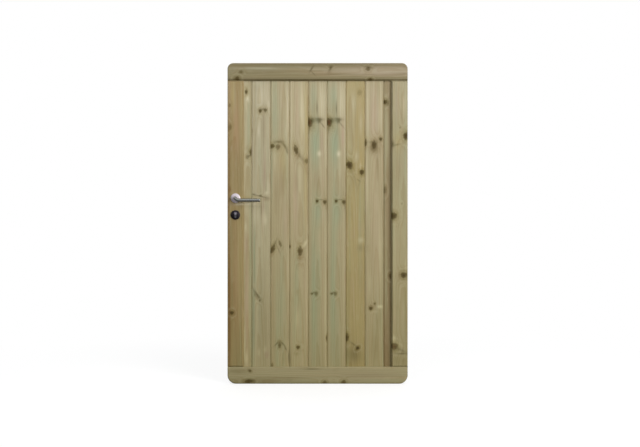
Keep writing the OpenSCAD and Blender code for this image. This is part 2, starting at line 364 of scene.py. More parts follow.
class KnotGroup(MarkGroup):
    """The group that says how near a point is to a knot."""

    name = "knot"
    sizes = ("Radius", "Stretch")
    results = ("Core", "Rim", "Halo", "Lift", "Split", "Pale")

    def work(self, g: Graph, short: object, long: object, strength: object, *sizes: object) -> tuple:
        """Draw a knot.

        Args:
            g: the group's graph.
            short: how far a point is from the knot's long axis, in millimetres.
            long: how far it is along that axis.
            strength: how strongly the knot shows.
            sizes: the knot's radius, and how far its round is drawn out.

        Returns:
            The knot's heart, bark and stain, how far it bends the rings, its split, and the pale wood
            beside it.
        """
        radius, stretch = sizes
        place = g.join(g.math("DIVIDE", short, radius), g.math("DIVIDE", long, radius), strength)
        squashed = g.math("DIVIDE", long, stretch)
        reach = g.math("SQRT", g.add(g.times(short, short), g.times(squashed, squashed)))
        ragged = g.times(g.noise(place, detail=3.0, rough=0.6), 0.55)
        distance = g.add(g.math("DIVIDE", reach, radius), ragged)
        core = g.times(g.step(distance, 1.50, 0.35), strength)
        rim = g.times(g.bell(g.add(distance, -1.0), 0.25), strength)
        halo = g.times(g.bell(g.add(distance, g.times(ragged, 2.0)), 2.1), strength)
        pale = g.times(g.bell(g.add(g.add(distance, g.times(ragged, -2.5)), -2.7), 0.6), strength)
        lift = g.times(g.times(g.bell(distance, 2.8), radius), 1.15)
        crack = g.math("DIVIDE", g.math("ABSOLUTE", long), radius)
        return core, rim, halo, lift, g.times(g.step(crack, 0.10, 0.0), core), pale


class PatchGroup(MarkGroup):
    """The group that says how near a point is to a soft patch."""

    name = "patch"
    sizes = ("Half width", "Half height", "Wobble")
    results = ("Near",)

    def work(self, g: Graph, short: object, long: object, strength: object, *sizes: object) -> tuple:
        """Draw a patch.

        Args:
            g: the group's graph.
            short: how far a point is from the patch's middle across it, in millimetres.
            long: how far it is along it.
            strength: how strongly the patch shows.
            sizes: half its width, half its height and how its sides wobble.

        Returns:
            How much of the patch's tint the point has.
        """
        width, height, wobble = sizes
        near = g.times(g.bell(g.add(g.math("DIVIDE", short, width), wobble), 1.0), g.bell(long, height))
        return (g.times(near, strength),)


class Figure(Enum):
    """Noise that follows the grain: seed, size across and along in millimetres, detail and roughness."""

    FINE = (0, 0.9, 26.0, 3.0, 0.65)
    FIBRE = (1, 0.28, 9.0, 2.0, 0.5)
    RIPPLE = (2, 24.0, 150.0, 2.0, 0.5)
    BROAD = (3, 30.0, 700.0, 2.0, 0.5)
    FLECK = (5, 9.0, 70.0, 2.0, 0.5)
    STREAK = (7, 9.0, 380.0, 3.0, 0.5)
    BLOTCH = (9, 26.0, 85.0, 3.0, 0.5)
    WANDER = (0, 70.0, 420.0, 1.0, 0.5)


# How much each signal counts in how light, how high and how rough the timber is.
TONE = {"Streak": 0.13, "Shift": 0.03, "Fibre": 0.06, "Fine": 0.07}
HEIGHT = {"Late": 0.35, "Fine": 0.30, "Streak": 0.25, "Fibre": 0.22, "Core": 0.5, "Rim": -0.7, "Split": -0.8}
ROUGH = {"Late": -0.06, "Fine": 0.03, "Core": -0.12}


@dataclass(frozen=True)
class TimberFinish:
    """The finish of planed, pressure-treated softwood, made for one piece at a time.

    Lengths are in millimetres. ring is the space between growth rings, taper is how much they close up
    towards the head, wander and ripple are how far they stray in long and short waves, and late_shade is
    how dark late wood is. board_face is how far the boards' face lies in front of the leaf's middle, and
    painted_flank_light is how much the flanks of their V joints lose on the side of the light and gain on
    the other, as painted shade and painted light. rail_shadow is how strong the painted shadow line under
    the top rail is, at the height of shoulder, in the colour rail_shadow_colour. painted_foot_shade and
    painted_head_light are painted shade towards the foot and painted light towards the head, moss_and_shade
    is a moss tint with painted shade along the bottom edge, and each share is how much of its colour shows.
    """

    knot_group: KnotGroup
    patch_group: PatchGroup
    ring: float = 5.2
    taper: float = 0.011
    wander: float = 11.0
    ripple: float = 2.2
    late_shade: float = 0.48
    roughness: float = 0.66
    board_face: float = -9.0
    painted_flank_light: float = -0.45
    rail_shadow: float = 0.70
    shoulder: float = 1686.0
    painted_foot_shade: Colour = (0.90, 0.885, 0.77)
    painted_head_light: Colour = (1.17, 1.18, 1.32)
    moss_and_shade: Colour = (0.45, 0.45, 0.30)
    rail_shadow_colour: Colour = (0.42, 0.36, 0.22)
    late_cast: Colour = (0.80, 0.72, 0.60)
    stain: Colour = (0.57, 0.51, 0.28)
    bark: Colour = (0.045, 0.029, 0.007)
    crack: Colour = (0.02, 0.014, 0.008)
    late_share: float = 0.85
    stain_share: float = 0.9
    pale_share: float = 0.22
    bark_share: float = 0.50
    crack_share: float = 0.7
    moss_and_shade_share: float = 0.42
    moss_and_shade_height: float = 7.0
    head: float = 1700.0
    sheen: float = 0.2
    relief: float = 0.0004

    def material(self, name: str, timber: Timber, middle: float) -> bpy.types.Material:
        """Make the material of one piece.

        Args:
            name: name of the material.
            timber: what shows on the piece.
            middle: the piece's middle across the grain, in millimetres from the lock edge or the foot.

        Returns:
            The material.
        """
        material, g = new_material(name)
        spot = self.spot(g, timber.grain)
        marks = self.knots(g, timber, spot)
        late, shift = self.growth_rings(g, timber, middle, spot, marks["Lift"])
        fine = self.figure(g, timber, spot, Figure.FINE)
        fibre = self.figure(g, timber, spot, Figure.FIBRE)
        streak = self.figure(g, timber, spot, Figure.STREAK)

        colour = self.cast(g, timber, spot, streak)
        late_colour = g.mix(1.0, colour, self.late_cast, blend="MULTIPLY")
        colour = g.mix(g.times(late, self.late_share), colour, late_colour)
        signals = {**marks, "Late": late, "Shift": shift, "Fine": fine, "Fibre": fibre, "Streak": streak}
        tone = g.weigh(timber.value, signals, TONE)
        # painted light and shade by height: lighter towards the head, darker towards the foot, darker along
        # the bottom edge and in a line under the top rail
        height_light = self.painted_height_light(g, timber.grain, spot)
        colour = g.mix(1.0, g.shade(colour, tone), height_light, blend="MULTIPLY")
        colour = self.end_grain(g, timber.grain, colour, late)
        colour = g.mix(g.times(marks["Pale"], self.pale_share), colour, Tint.CREAM.value)
        stained = g.mix(1.0, colour, self.stain, blend="MULTIPLY")
        colour = g.mix(g.times(marks["Halo"], self.stain_share), colour, stained)
        # painted shade and painted light on the flanks of the V joints, by the side that they face
        colour = g.shade(colour, self.joint_light(g, spot))
        colour = g.mix(marks["Core"], colour, self.heart(g, marks, fine))
        colour = g.mix(g.times(marks["Rim"], self.bark_share), colour, self.bark)
        colour = g.mix(g.times(marks["Split"], self.crack_share), colour, self.crack)

        height = g.weigh(0.5, signals, HEIGHT)
        bump = g.node("Bump", {"Strength": 0.55, "Distance": self.relief, "Height": height})
        rough = g.weigh(self.roughness, signals, ROUGH)
        ends = {"Base Color": colour, "Roughness": rough, "Normal": bump.outputs[0],
                "Specular IOR Level": self.sheen}
        shader = g.node("BsdfPrincipled", ends)
        g.node("OutputMaterial", {"Surface": shader.outputs[0]})
        return material

    def spot(self, g: Graph, grain: Grain) -> Spot:
        """Find where the shaded point is in the leaf.

        Args:
            g: the graph of the material.
            grain: which way the piece's fibres run.

        Returns:
            The place across, into and along the grain.
        """
        x, y, z = g.split(g.node("TexCoord").outputs["Object"])
        x = g.scaled(x, 1 / MM, -CAD_BOX[0][0] / MM)
        z = g.scaled(z, 1 / MM, -CAD_BOX[0][2] / MM)
        y = g.times(y, 1 / MM)
        return Spot(x, y, z) if grain is Grain.UPRIGHT else Spot(z, y, x)

    def knots(self, g: Graph, timber: Timber, spot: Spot) -> dict[str, object]:
        """Gather the marks of all the piece's knots.

        Args:
            g: the graph of the material.
            timber: the piece's knots.
            spot: where the shaded point is.

        Returns:
            The knot group's results by name, and under Live how near a live knot's heart is.
        """
        marks = dict.fromkeys((*KnotGroup.results, "Live"), 0.0)
        for knot in timber.knots:
            one = self.knot_group.mark(g, timber.grain, spot, knot, knot.radius, knot.stretch)
            for name in ("Core", "Rim", "Halo", "Split", "Pale"):
                marks[name] = g.math("MAXIMUM", marks[name], one[name])
            marks["Lift"] = g.add(marks["Lift"], one["Lift"])
            if knot.kind is KnotKind.LIVE:
                marks["Live"] = g.math("MAXIMUM", marks["Live"], one["Core"])
        return marks

    def heart(self, g: Graph, marks: dict[str, object], fine: object) -> bpy.types.NodeSocket:
        """Colour the hearts of the knots, which have rings of their own.

        Args:
            g: the graph of the material.
            marks: the marks of the knots.
            fine: fine noise along the grain.

        Returns:
            The colour.
        """
        colour = g.mix(marks["Live"], KnotKind.DEAD.value, KnotKind.LIVE.value)
        rings = g.math("SINE", g.times(g.add(g.times(marks["Lift"], 5.0), fine), 2.0))
        return g.shade(colour, g.scaled(rings, 0.18, 1.0))

    def joint_light(self, g: Graph, spot: Spot) -> bpy.types.NodeSocket:
        """Paint shade and light on the flanks of the V joints: painted shade on the flank that faces the
        light, painted light on the one that faces away.

        Args:
            g: the graph of the material.
            spot: where the shaded point is.

        Returns:
            How much lighter or darker the point is, 1 where it isn't on a flank.
        """
        below_face = g.step(spot.depth, self.board_face + 0.2, self.board_face + 1.2)
        flank = g.times(below_face, g.step(spot.depth, 0.0, -1.0))
        facing = g.split(g.node("TexCoord").outputs["Normal"])[0]
        return g.scaled(g.times(flank, g.add(facing, -0.35)), self.painted_flank_light, 1.0)

    def painted_height_light(self, g: Graph, grain: Grain, spot: Spot) -> bpy.types.NodeSocket:
        """Paint light and shade by height: painted light towards the head, painted shade towards the foot
        and, with a moss tint, along the bottom edge, and a painted shadow line under the top rail.

        Args:
            g: the graph of the material.
            grain: which way the piece's fibres run.
            spot: where the shaded point is.

        Returns:
            The colour that the timber is multiplied by.
        """
        up = spot.along if grain is Grain.UPRIGHT else spot.across
        # painted light towards the head and painted shade towards the foot
        height = g.node("MapRange", {"Value": up, "From Min": 0.0, "From Max": self.head}).outputs[0]
        shade = g.mix(height, self.painted_foot_shade, self.painted_head_light)
        # a moss tint with painted shade along the bottom edge, which faces down
        foot = g.bell(g.add(up, -self.moss_and_shade_height), self.moss_and_shade_height)
        shade = g.mix(g.times(foot, self.moss_and_shade_share), shade, self.moss_and_shade)
        # a painted shadow line under the top rail, at the height of shoulder
        corner = g.times(g.bell(g.add(up, -self.shoulder), 5.0), self.rail_shadow)
        return g.mix(corner, shade, self.rail_shadow_colour)

    def end_grain(self, g: Graph, grain: Grain, colour: object, late: object) -> bpy.types.NodeSocket:
        """Darken the ends, where the fibres are cut across and the rings show more.

        Args:
            g: the graph of the material.
            grain: which way the piece's fibres run.
            colour: the timber's colour.
            late: how much late wood there is.

        Returns:
            The colour with its ends darkened.
        """
        normal = g.split(g.node("TexCoord").outputs["Normal"])
        square = g.math("ABSOLUTE", normal[2] if grain is Grain.UPRIGHT else normal[0])
        cut = g.step(square, 0.6, 0.95)
        darker = g.shade(colour, g.scaled(late, -0.35, 0.80))
        return g.mix(cut, colour, darker)

    def figure(self, g: Graph, timber: Timber, spot: Spot, kind: Figure) -> bpy.types.NodeSocket:
        """Draw noise that follows the grain.

        Args:
            g: the graph of the material.
            timber: the piece, whose seed sets the noise.
            spot: where the shaded point is.
            kind: which of the timber's figures it is.

        Returns:
            The noise, from about -1 to 1.
        """
        shift, fine, coarse, detail, rough = kind.value
        seed = timber.seed + shift
        across = g.scaled(spot.across, 1 / fine, seed * 13.7)
        depth = g.scaled(spot.depth, 1 / fine, seed * 5.3)
        along = g.scaled(spot.along, 1 / coarse, seed * 3.1)
        return g.noise(g.join(across, depth, along), detail=detail, rough=rough)

    def growth_rings(self, g: Graph, timber: Timber, middle: float, spot: Spot,
                     lift: object) -> tuple[bpy.types.NodeSocket, bpy.types.NodeSocket]:
        """Follow the growth rings of the tree through the piece.

        Args:
            g: the graph of the material.
            timber: where the piece was cut out of its tree.
            middle: the piece's middle across the grain, in millimetres.
            spot: where the shaded point is.
            lift: how far the knots bend the rings.

        Returns:
            How much late wood there is, from 0 to 1, and how this ring differs from the next ones.
        """
        wander = self.figure(g, timber, spot, Figure.WANDER)
        ripple = self.figure(g, timber, spot, Figure.RIPPLE)
        side = g.add(g.scaled(wander, self.wander, -middle - timber.pith[0]), spot.across)
        back = g.add(spot.depth, -timber.pith[1])
        radius = g.math("SQRT", g.add(g.times(side, side), g.times(back, back)))
        radius = g.scaled(spot.along, self.taper, g.scaled(ripple, self.ripple, g.add(radius, lift)))
        count = g.times(radius, 1 / self.ring)
        part = g.math("FRACT", count)
        late = g.times(g.step(part, 0.35, 0.90), g.step(part, 1.0, 0.92))
        shift = g.noise(g.join(g.times(count, 0.55), timber.seed, 0.0), detail=1.0)
        return g.times(late, g.scaled(shift, 0.35, self.late_shade)), shift

    def cast(self, g: Graph, timber: Timber, spot: Spot, streak: object) -> bpy.types.NodeSocket:
        """Colour the piece as it is without its rings and knots: its cast, streaks and patches.

        Args:
            g: the graph of the material.
            timber: the piece's tint and patches.
            spot: where the shaded point is.
            streak: noise in streaks along the grain.

        Returns:
            The colour.
        """
        broad = self.figure(g, timber, spot, Figure.BROAD)
        colour = g.mix(g.times(g.step(broad, 0.0, 0.6), 0.5), timber.tint.value, Tint.GREEN.value)
        blush = g.add(g.times(broad, -0.6), g.times(streak, 0.8))
        colour = g.mix(g.times(g.step(blush, 0.0, 0.6), 0.38), colour, Tint.PINK.value)
        fleck = self.figure(g, timber, spot, Figure.FLECK)
        colour = g.mix(g.times(g.step(fleck, 0.10, 0.75), 0.40), colour, Tint.CREAM.value)
        blotch = self.figure(g, timber, spot, Figure.BLOTCH)
        colour = g.mix(g.times(g.step(blotch, 0.05, 0.7), 0.35), colour, Tint.OLIVE.value)
        colour = g.mix(g.times(g.step(blotch, -0.05, -0.7), 0.35), colour, Tint.PINK.value)
        for patch in timber.patches:
            marks = self.patch_group.mark(g, timber.grain, spot, patch, patch.half_w, patch.half_h,
                                          g.times(streak, 0.35))
            colour = g.mix(marks["Near"], colour, patch.tint.value)
        return colour


# ---- Metal ----


class Brushing(Enum):
    """Which way a metal surface was brushed.

    The values say how fast its marks change for each millimetre across, into and up the leaf, or, where
    it was brushed round, out from the centre, into the leaf and round the centre.
    """

    ROUND = (5.0, 5.0, 0.6)
    ALONG_X = (0.08, 5.0, 5.0)
    ALONG_Z = (5.0, 5.0, 0.08)
    NONE = (1.5, 1.5, 1.5)


@dataclass(frozen=True)
class MetalFinish:
    """A metal surface with brush marks, smears and fine wear.

    centre is what round brush marks go round, in metres. smear and scuff are how fast smears and worn
    spots change for each millimetre, and wear is how strongly the worn spots show.
    """

    name: str
    colour: Colour
    roughness: float
    brushing: Brushing = Brushing.NONE
    centre: Place = (0.0, 0.0, 0.0)
    metallic: float = 1.0
    wear: float = 0.0
    wear_colour: Colour = (0.3, 0.3, 0.3)
    smear: Place = (0.09, 0.09, 0.07)
    scuff: Place = (0.5, 0.5, 0.35)
    unevenness: float = 0.05
    relief: float = 0.00006

    def material(self) -> bpy.types.Material:
        """Make the material.

        Returns:
            The material, brushed, smeared and worn as this finish says.
        """
        material, g = new_material(self.name)
        x, y, z = g.split(g.node("TexCoord").outputs["Object"])
        x, y, z = (g.scaled(axis, 1000.0, -at * 1000.0) for axis, at in zip((x, y, z), self.centre))
        marks = g.noise(self.brush_place(g, x, y, z), detail=3.0, rough=0.65)
        smear = g.noise(g.stretch((x, y, z), self.smear), detail=3.0)
        uneven = g.times(g.add(marks, smear), self.unevenness)
        colour = g.shade(self.colour, g.add(uneven, 1.0))
        rough = g.add(uneven, self.roughness)
        if self.wear:
            scuff = g.noise(g.stretch((x, y, z), self.scuff), detail=6.0, rough=0.7)
            colour = g.mix(g.times(g.step(scuff, 0.1, 0.5), self.wear), colour, self.wear_colour)
        bump = g.node("Bump", {"Strength": 0.25, "Distance": self.relief, "Height": marks})
        ends = {"Base Color": colour, "Metallic": self.metallic, "Roughness": rough,
                "Normal": bump.outputs[0]}
        shader = g.node("BsdfPrincipled", ends)
        g.node("OutputMaterial", {"Surface": shader.outputs[0]})
        return material

    def brush_place(self, g: Graph, x: object, y: object, z: object) -> bpy.types.NodeSocket:
        """Find the place at which noise gives this metal's brush marks.

        Args:
            g: the graph of the material.
            x: place across the leaf from the finish's centre, in millimetres.
            y: place into the leaf.
            z: place up the leaf.

        Returns:
            The place, drawn out along the brush marks.
        """
        if self.brushing is Brushing.ROUND:
            reach = g.math("SQRT", g.add(g.times(x, x), g.times(z, z)))
            return g.stretch((reach, y, g.math("ARCTAN2", x, z)), self.brushing.value)
        return g.stretch((x, y, z), self.brushing.value)


# ---- Meshes ----


Outline = list[tuple[float, float]]


class Side(Enum):
    """A face of the leaf, by the sign of its outward direction."""

    FRONT = -1.0
    BACK = 1.0

    @property
    def word(self) -> str:
        """Return the word that the names of this side's pieces start with."""
        return self.name.lower()


@dataclass(frozen=True)
class Seat:
    """Where a fitting stands on a face of the leaf, in metres."""

    side: Side
    x: float
    z: float
    face: float

    def point(self, across: float, up: float, out: float) -> Vector:
        """Return the place that lies across, up and out from the seat, in millimetres."""
        y = self.side.value * (self.face + out * MM)
        return Vector((self.x + across * MM, y, self.z + up * MM))


def eased(corners: Sequence[tuple[float, float, float]], steps: int = 5) -> Outline:
    """Round the corners of a closed outline.

    Args:
        corners: the first and second coordinate of each corner, and the radius it gets.
        steps: straight pieces in each round.

    Returns:
        The points of the rounded outline.
    """
    points: Outline = []
    for i, (px, py, radius) in enumerate(corners):
        here = Vector((px, py))
        before = Vector(corners[i - 1][:2]) - here
        after = Vector(corners[(i + 1) % len(corners)][:2]) - here
        if radius <= 0:
            points.append((px, py))
            continue
        half = before.angle(after) / 2
        reach = min(radius / math.tan(half), before.length * 0.49, after.length * 0.49)
        start, end = here + before.normalized() * reach, here + after.normalized() * reach
        for k in range(steps + 1):
            t = k / steps
            bend = start * (1 - t) ** 2 + here * 2 * t * (1 - t) + end * t ** 2
            points.append((bend.x, bend.y))
    return points


class Shell:
    """A mesh that is built up from rings of points."""

    def __init__(self, name: str) -> None:
        """Start an empty mesh under a name."""
        self.name = name
        self.bm = bmesh.new()

    def skin(self, rings: Sequence[Sequence[Vector]], caps: bool = True, closed: bool = False) -> None:
        """Join each ring to the next.

        Args:
            rings: rings with equally many points.
            caps: whether the first and the last ring are filled.
            closed: whether the last ring is joined to the first instead.
        """
        loops = [[self.bm.verts.new(point) for point in ring] for ring in rings]
        pairs = list(zip(loops, loops[1:]))
        if closed:
            pairs.append((loops[-1], loops[0]))
        for one, two in pairs:
            for i in range(len(one)):
                j = (i + 1) % len(one)
                self.bm.faces.new((one[i], one[j], two[j], two[i]))
        if caps and not closed:
            self.bm.faces.new(reversed(loops[0]))
            self.bm.faces.new(loops[-1])

    def finish(self, body: str, material: bpy.types.Material, slot: str, sharp: float = 30.0,
               ) -> bpy.types.Object:
        """Turn the mesh into a smooth-shaded object.

        Args:
            body: the body that the piece rides on.
            material: its material.
            slot: not used.
            sharp: the angle past which an edge stays sharp, in degrees.

        Returns:
            The object.
        """
        bmesh.ops.remove_doubles(self.bm, verts=self.bm.verts, dist=1e-7)
        bmesh.ops.recalc_face_normals(self.bm, faces=self.bm.faces)
        mesh = bpy.data.meshes.new(self.name)
        self.bm.to_mesh(mesh)
        self.bm.free()
        mesh.shade_smooth()
        mesh.set_sharp_from_angle(angle=math.radians(sharp))
        mesh.materials.append(material)
        piece = bpy.data.objects.new(self.name, mesh)
        bpy.context.scene.collection.objects.link(piece)
        weights = piece.modifiers.new("flat faces stay flat", "WEIGHTED_NORMAL")
        weights.keep_sharp = True
        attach(piece, body)
        log.info("%s: built, %d faces", self.name, len(mesh.polygons))
        return piece


def dress(node: str, material: bpy.types.Material) -> None:
    """Give a CAD node its finish.

    Args:
        node: the node's name.
        material: its material.
    """
    piece = frame["nodes"][node]
    piece.data.materials.clear()
    piece.data.materials.append(material)
    log.info("%s: dressed", node)


def middle_of(node: str) -> Place:
    """Return the middle of a node that stands on the leaf, half way through the leaf."""
    low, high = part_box(node)
    return ((low.x + high.x) / 2, 0.0, (low.z + high.z) / 2)


def middle_mm(node: str, grain: Grain) -> float:
    """Find the middle of a node across its grain.

    Args:
        node: the node's name.
        grain: which way its fibres run.

    Returns:
        Its distance from the lock edge, or from the foot where the grain is level, in millimetres.
    """
    axis = 0 if grain is Grain.UPRIGHT else 2
    low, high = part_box(node)
    return ((low[axis] + high[axis]) / 2 - CAD_BOX[0][axis]) / MM


# ---- Sub-assemblies ----


@dataclass
class Frame:
    """The two stiles and the two rails, whose shape comes with the part."""

    finish: TimberFinish
    timbers: dict[str, Timber]

    def build(self) -> None:
        """Dress each member in its own timber."""
        for node, timber in self.timbers.items():
            dress(node, self.finish.material("timber_" + node, timber, middle_mm(node, timber.grain)))


@dataclass
class Boarding:
    """The tongued and grooved boards, V-jointed on the front. Sizes are in metres.

    tongue_front and tongue_back are where the tongue's faces lie, from half way through the leaf. Each
    right edge wavers by up to waver, as far in as joint_reach.
    """

    finish: TimberFinish
    timbers: dict[str, Timber]
    chamfer: float = 0.006
    seam: float = 0.0002
    tongue: float = 0.006
    tongue_front: float = 0.0005
    tongue_back: float = 0.0055
    clearance: float = 0.0002
    back_joint: float = 0.001
    ease: float = 0.0016
    root_ease: float = 0.0004
    edge_ease: float = 0.0006
    joint_reach: float = 0.007
    rows: int = 48
    waver: float = 0.00016

    def build(self) -> None:
        """Build every board in place of its plain one."""
        names = list(self.timbers)
        for i, node in enumerate(names):
            low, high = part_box(node)
            left_plain, right_plain = i == 0, i == len(names) - 1
            right = high.x if right_plain else high.x - self.tongue
            outline = self.section(low.x, right, low.y, high.y, left_plain, right_plain)
            shell = Shell(node + "_dressed")
            shell.skin(self.rows_of(outline, low, high, right, i))
            timber = self.timbers[node]
            material = self.finish.material("timber_" + node, timber, middle_mm(node, timber.grain))
            piece = shell.finish(LEAF, material, "board_timber")
            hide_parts(node)

    def section(self, left: float, right: float, front: float, back: float, left_plain: bool,
                right_plain: bool) -> Outline:
        """Draw the cross-section of a board.

        Args:
            left: x of its left joint or edge.
            right: x of its right joint or edge.
            front: y of its front face.
            back: y of its back face.
            left_plain: whether the left edge has no groove.
            right_plain: whether the right edge has no tongue.

        Returns:
            The points of the section.
        """
        gap, depth = self.clearance, self.tongue + self.clearance
        root = front + self.chamfer
        if left_plain:
            corners = [(left, back, 0.0), (left, front, 0.0)]
        else:
            corners = [
                (left, back, self.edge_ease),
                (left, self.tongue_back + gap, 0.0),
                (left + depth, self.tongue_back + gap, 0.0),
                (left + depth, self.tongue_front - gap, 0.0),
                (left, self.tongue_front - gap, 0.0),
                (left, root, self.root_ease),
                (left + self.chamfer, front, self.ease),
            ]
        if right_plain:
            corners += [(right, front, 0.0), (right, back, 0.0)]
        else:
            edge = right - self.seam
            corners += [
                (edge - self.chamfer, front, self.ease),
                (edge, root, self.root_ease),
                (edge, self.tongue_front, 0.0),
                (right + self.tongue, self.tongue_front, self.edge_ease),
                (right + self.tongue, self.tongue_back, self.edge_ease),
                (right - self.back_joint, self.tongue_back, 0.0),
                (right - self.back_joint, back, self.edge_ease),
            ]
        return eased(corners, steps=3)

    def rows_of(self, outline: Outline, low: Vector, high: Vector, right: float,
                number: int) -> list[list[Vector]]:
        """Draw the section up the board, whose right edge wavers a hair.

        Args:
            outline: the cross-section.
            low: the board's lowest corner.
            high: its highest corner.
            right: x of the right joint.
            number: the board's place in the row, which sets how it wavers.

        Returns:
            One ring of points for each row.
        """
        rings = []
        for k in range(self.rows + 1):
            z = low.z + (high.z - low.z) * k / self.rows
            wave = math.sin(z * 7.1 + number * 2.3) + 0.6 * math.sin(z * 17.0 + number * 1.1) - 1.6
            shift = self.waver * wave / 2
            near = right - self.joint_reach
            rings.append([Vector((x + (shift if near < x < right else 0.0), y, z)) for x, y in outline])
        return rings


@dataclass
class LeverHandles:
    """The pair of round bar levers on their roses, and the spindle between them. Sizes in millimetres.

    The neck stands out from the leaf, turns at the elbow, droops by so many degrees and sweeps level
    again, where it swells to the grip.
    """

    finish: MetalFinish
    rose_finish: MetalFinish
    works: MetalFinish
    neck_r: float = 9.0
    grip_r: float = 10.0
    swell: tuple[float, ...] = (9.1, 9.45, 9.85)
    neck_start: float = 0.5
    neck_end: float = 28.0
    elbow_r: float = 14.0
    droop: float = 40.0
    sweep_r: float = 16.0
    length: float = 140.0
    tip_r: float = 3.0
    elbow_steps: int = 12
    sweep_steps: int = 8
    tip_steps: int = 8
    around: int = 48

    def build(self) -> None:
        """Build both levers and dress what carries them."""
        joint = next(one for one in frame["joints"] if one["child"] == HANDLE)
        steel, rose_steel = self.finish.material(), self.rose_finish.material()
        for side in Side:
            seat = Seat(side, joint["pos_m"][0], joint["pos_m"][2], LEAF_HALF)
            self.lever(seat, steel)
            dress(side.word + "_lever_rose", rose_steel)
        plated = self.works.material()
        for node in ("spindle", "lock_follower"):
            dress(node, plated)

    def path(self) -> list[tuple[Vector, Vector]]:
        """Lay out the middle line of a lever.

        Returns:
            Places and headings, as across, up and out from the spindle's foot.
        """
        slope = math.radians(self.droop)
        heading = Vector((math.cos(slope), -math.sin(slope), 0.0))
        rise = Vector((math.sin(slope), math.cos(slope), 0.0))
        out = Vector((0.0, 0.0, 1.0))
        line = [(out * self.neck_start, out), (out * (self.neck_end - 6.0), out)]
        for k in range(self.elbow_steps + 1):
            a = math.pi / 2 * k / self.elbow_steps
            middle = out * (self.neck_end + self.elbow_r * math.sin(a))
            line.append((middle + heading * self.elbow_r * (1 - math.cos(a)),
                         out * math.cos(a) + heading * math.sin(a)))
        corner = line[-1][0]
        for k in range(1, self.sweep_steps + 1):
            a = slope * k / self.sweep_steps
            middle = corner + heading * self.sweep_r * math.sin(a) + rise * self.sweep_r * (1 - math.cos(a))
            line.append((middle, heading * math.cos(a) + rise * math.sin(a)))
        return line

    def lever(self, seat: Seat, steel: bpy.types.Material) -> None:
        """Sweep one lever along its middle line.

        Args:
            seat: its place on the leaf.
            steel: its material.
        """
        line = self.path()
        end = line[-1][0]
        level = Vector((1.0, 0.0, 0.0))
        radii = [self.neck_r] * (len(line) - len(self.swell)) + list(self.swell)
        stops = [end.x + 2.0, end.x + 6.0, (end.x + self.length) / 2, self.length - self.tip_r - 2.0]
        line += [(Vector((x, end.y, end.z)), level) for x in stops]
        radii += [self.grip_r] * len(stops)
        for k in range(self.tip_steps + 1):
            a = math.pi / 2 * k / self.tip_steps
            x = self.length - self.tip_r * (1 - math.sin(a))
            line.append((Vector((x, end.y, end.z)), level))
            radii.append(self.grip_r - self.tip_r * (1 - math.cos(a)))
        shell = Shell(seat.side.word + "_lever_dressed")
        shell.skin([self.ring(seat, place, heading, r) for (place, heading), r in zip(line, radii)])
        piece = shell.finish(HANDLE, steel, "satin_stainless", sharp=50.0)
        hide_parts(seat.side.word + "_lever")

    def ring(self, seat: Seat, place: Vector, heading: Vector, radius: float) -> list[Vector]:
        """Draw a circle square to the lever's heading, its points kept in line with the last ring's.

        Args:
            seat: the lever's place on the leaf.
            place: the circle's middle, across, up and out from the seat.
            heading: the way that the lever runs there.
            radius: the circle's radius.

        Returns:
            The points of the circle.
        """
        slope = math.radians(self.droop)
        level = Vector((math.sin(slope), math.cos(slope), 0.0))
        level = (level - heading * level.dot(heading)).normalized()
        other = heading.cross(level)
        angles = [math.tau * k / self.around for k in range(self.around)]
        spots = [place + (level * math.cos(a) + other * math.sin(a)) * radius for a in angles]
        return [seat.point(spot.x, spot.y, spot.z) for spot in spots]


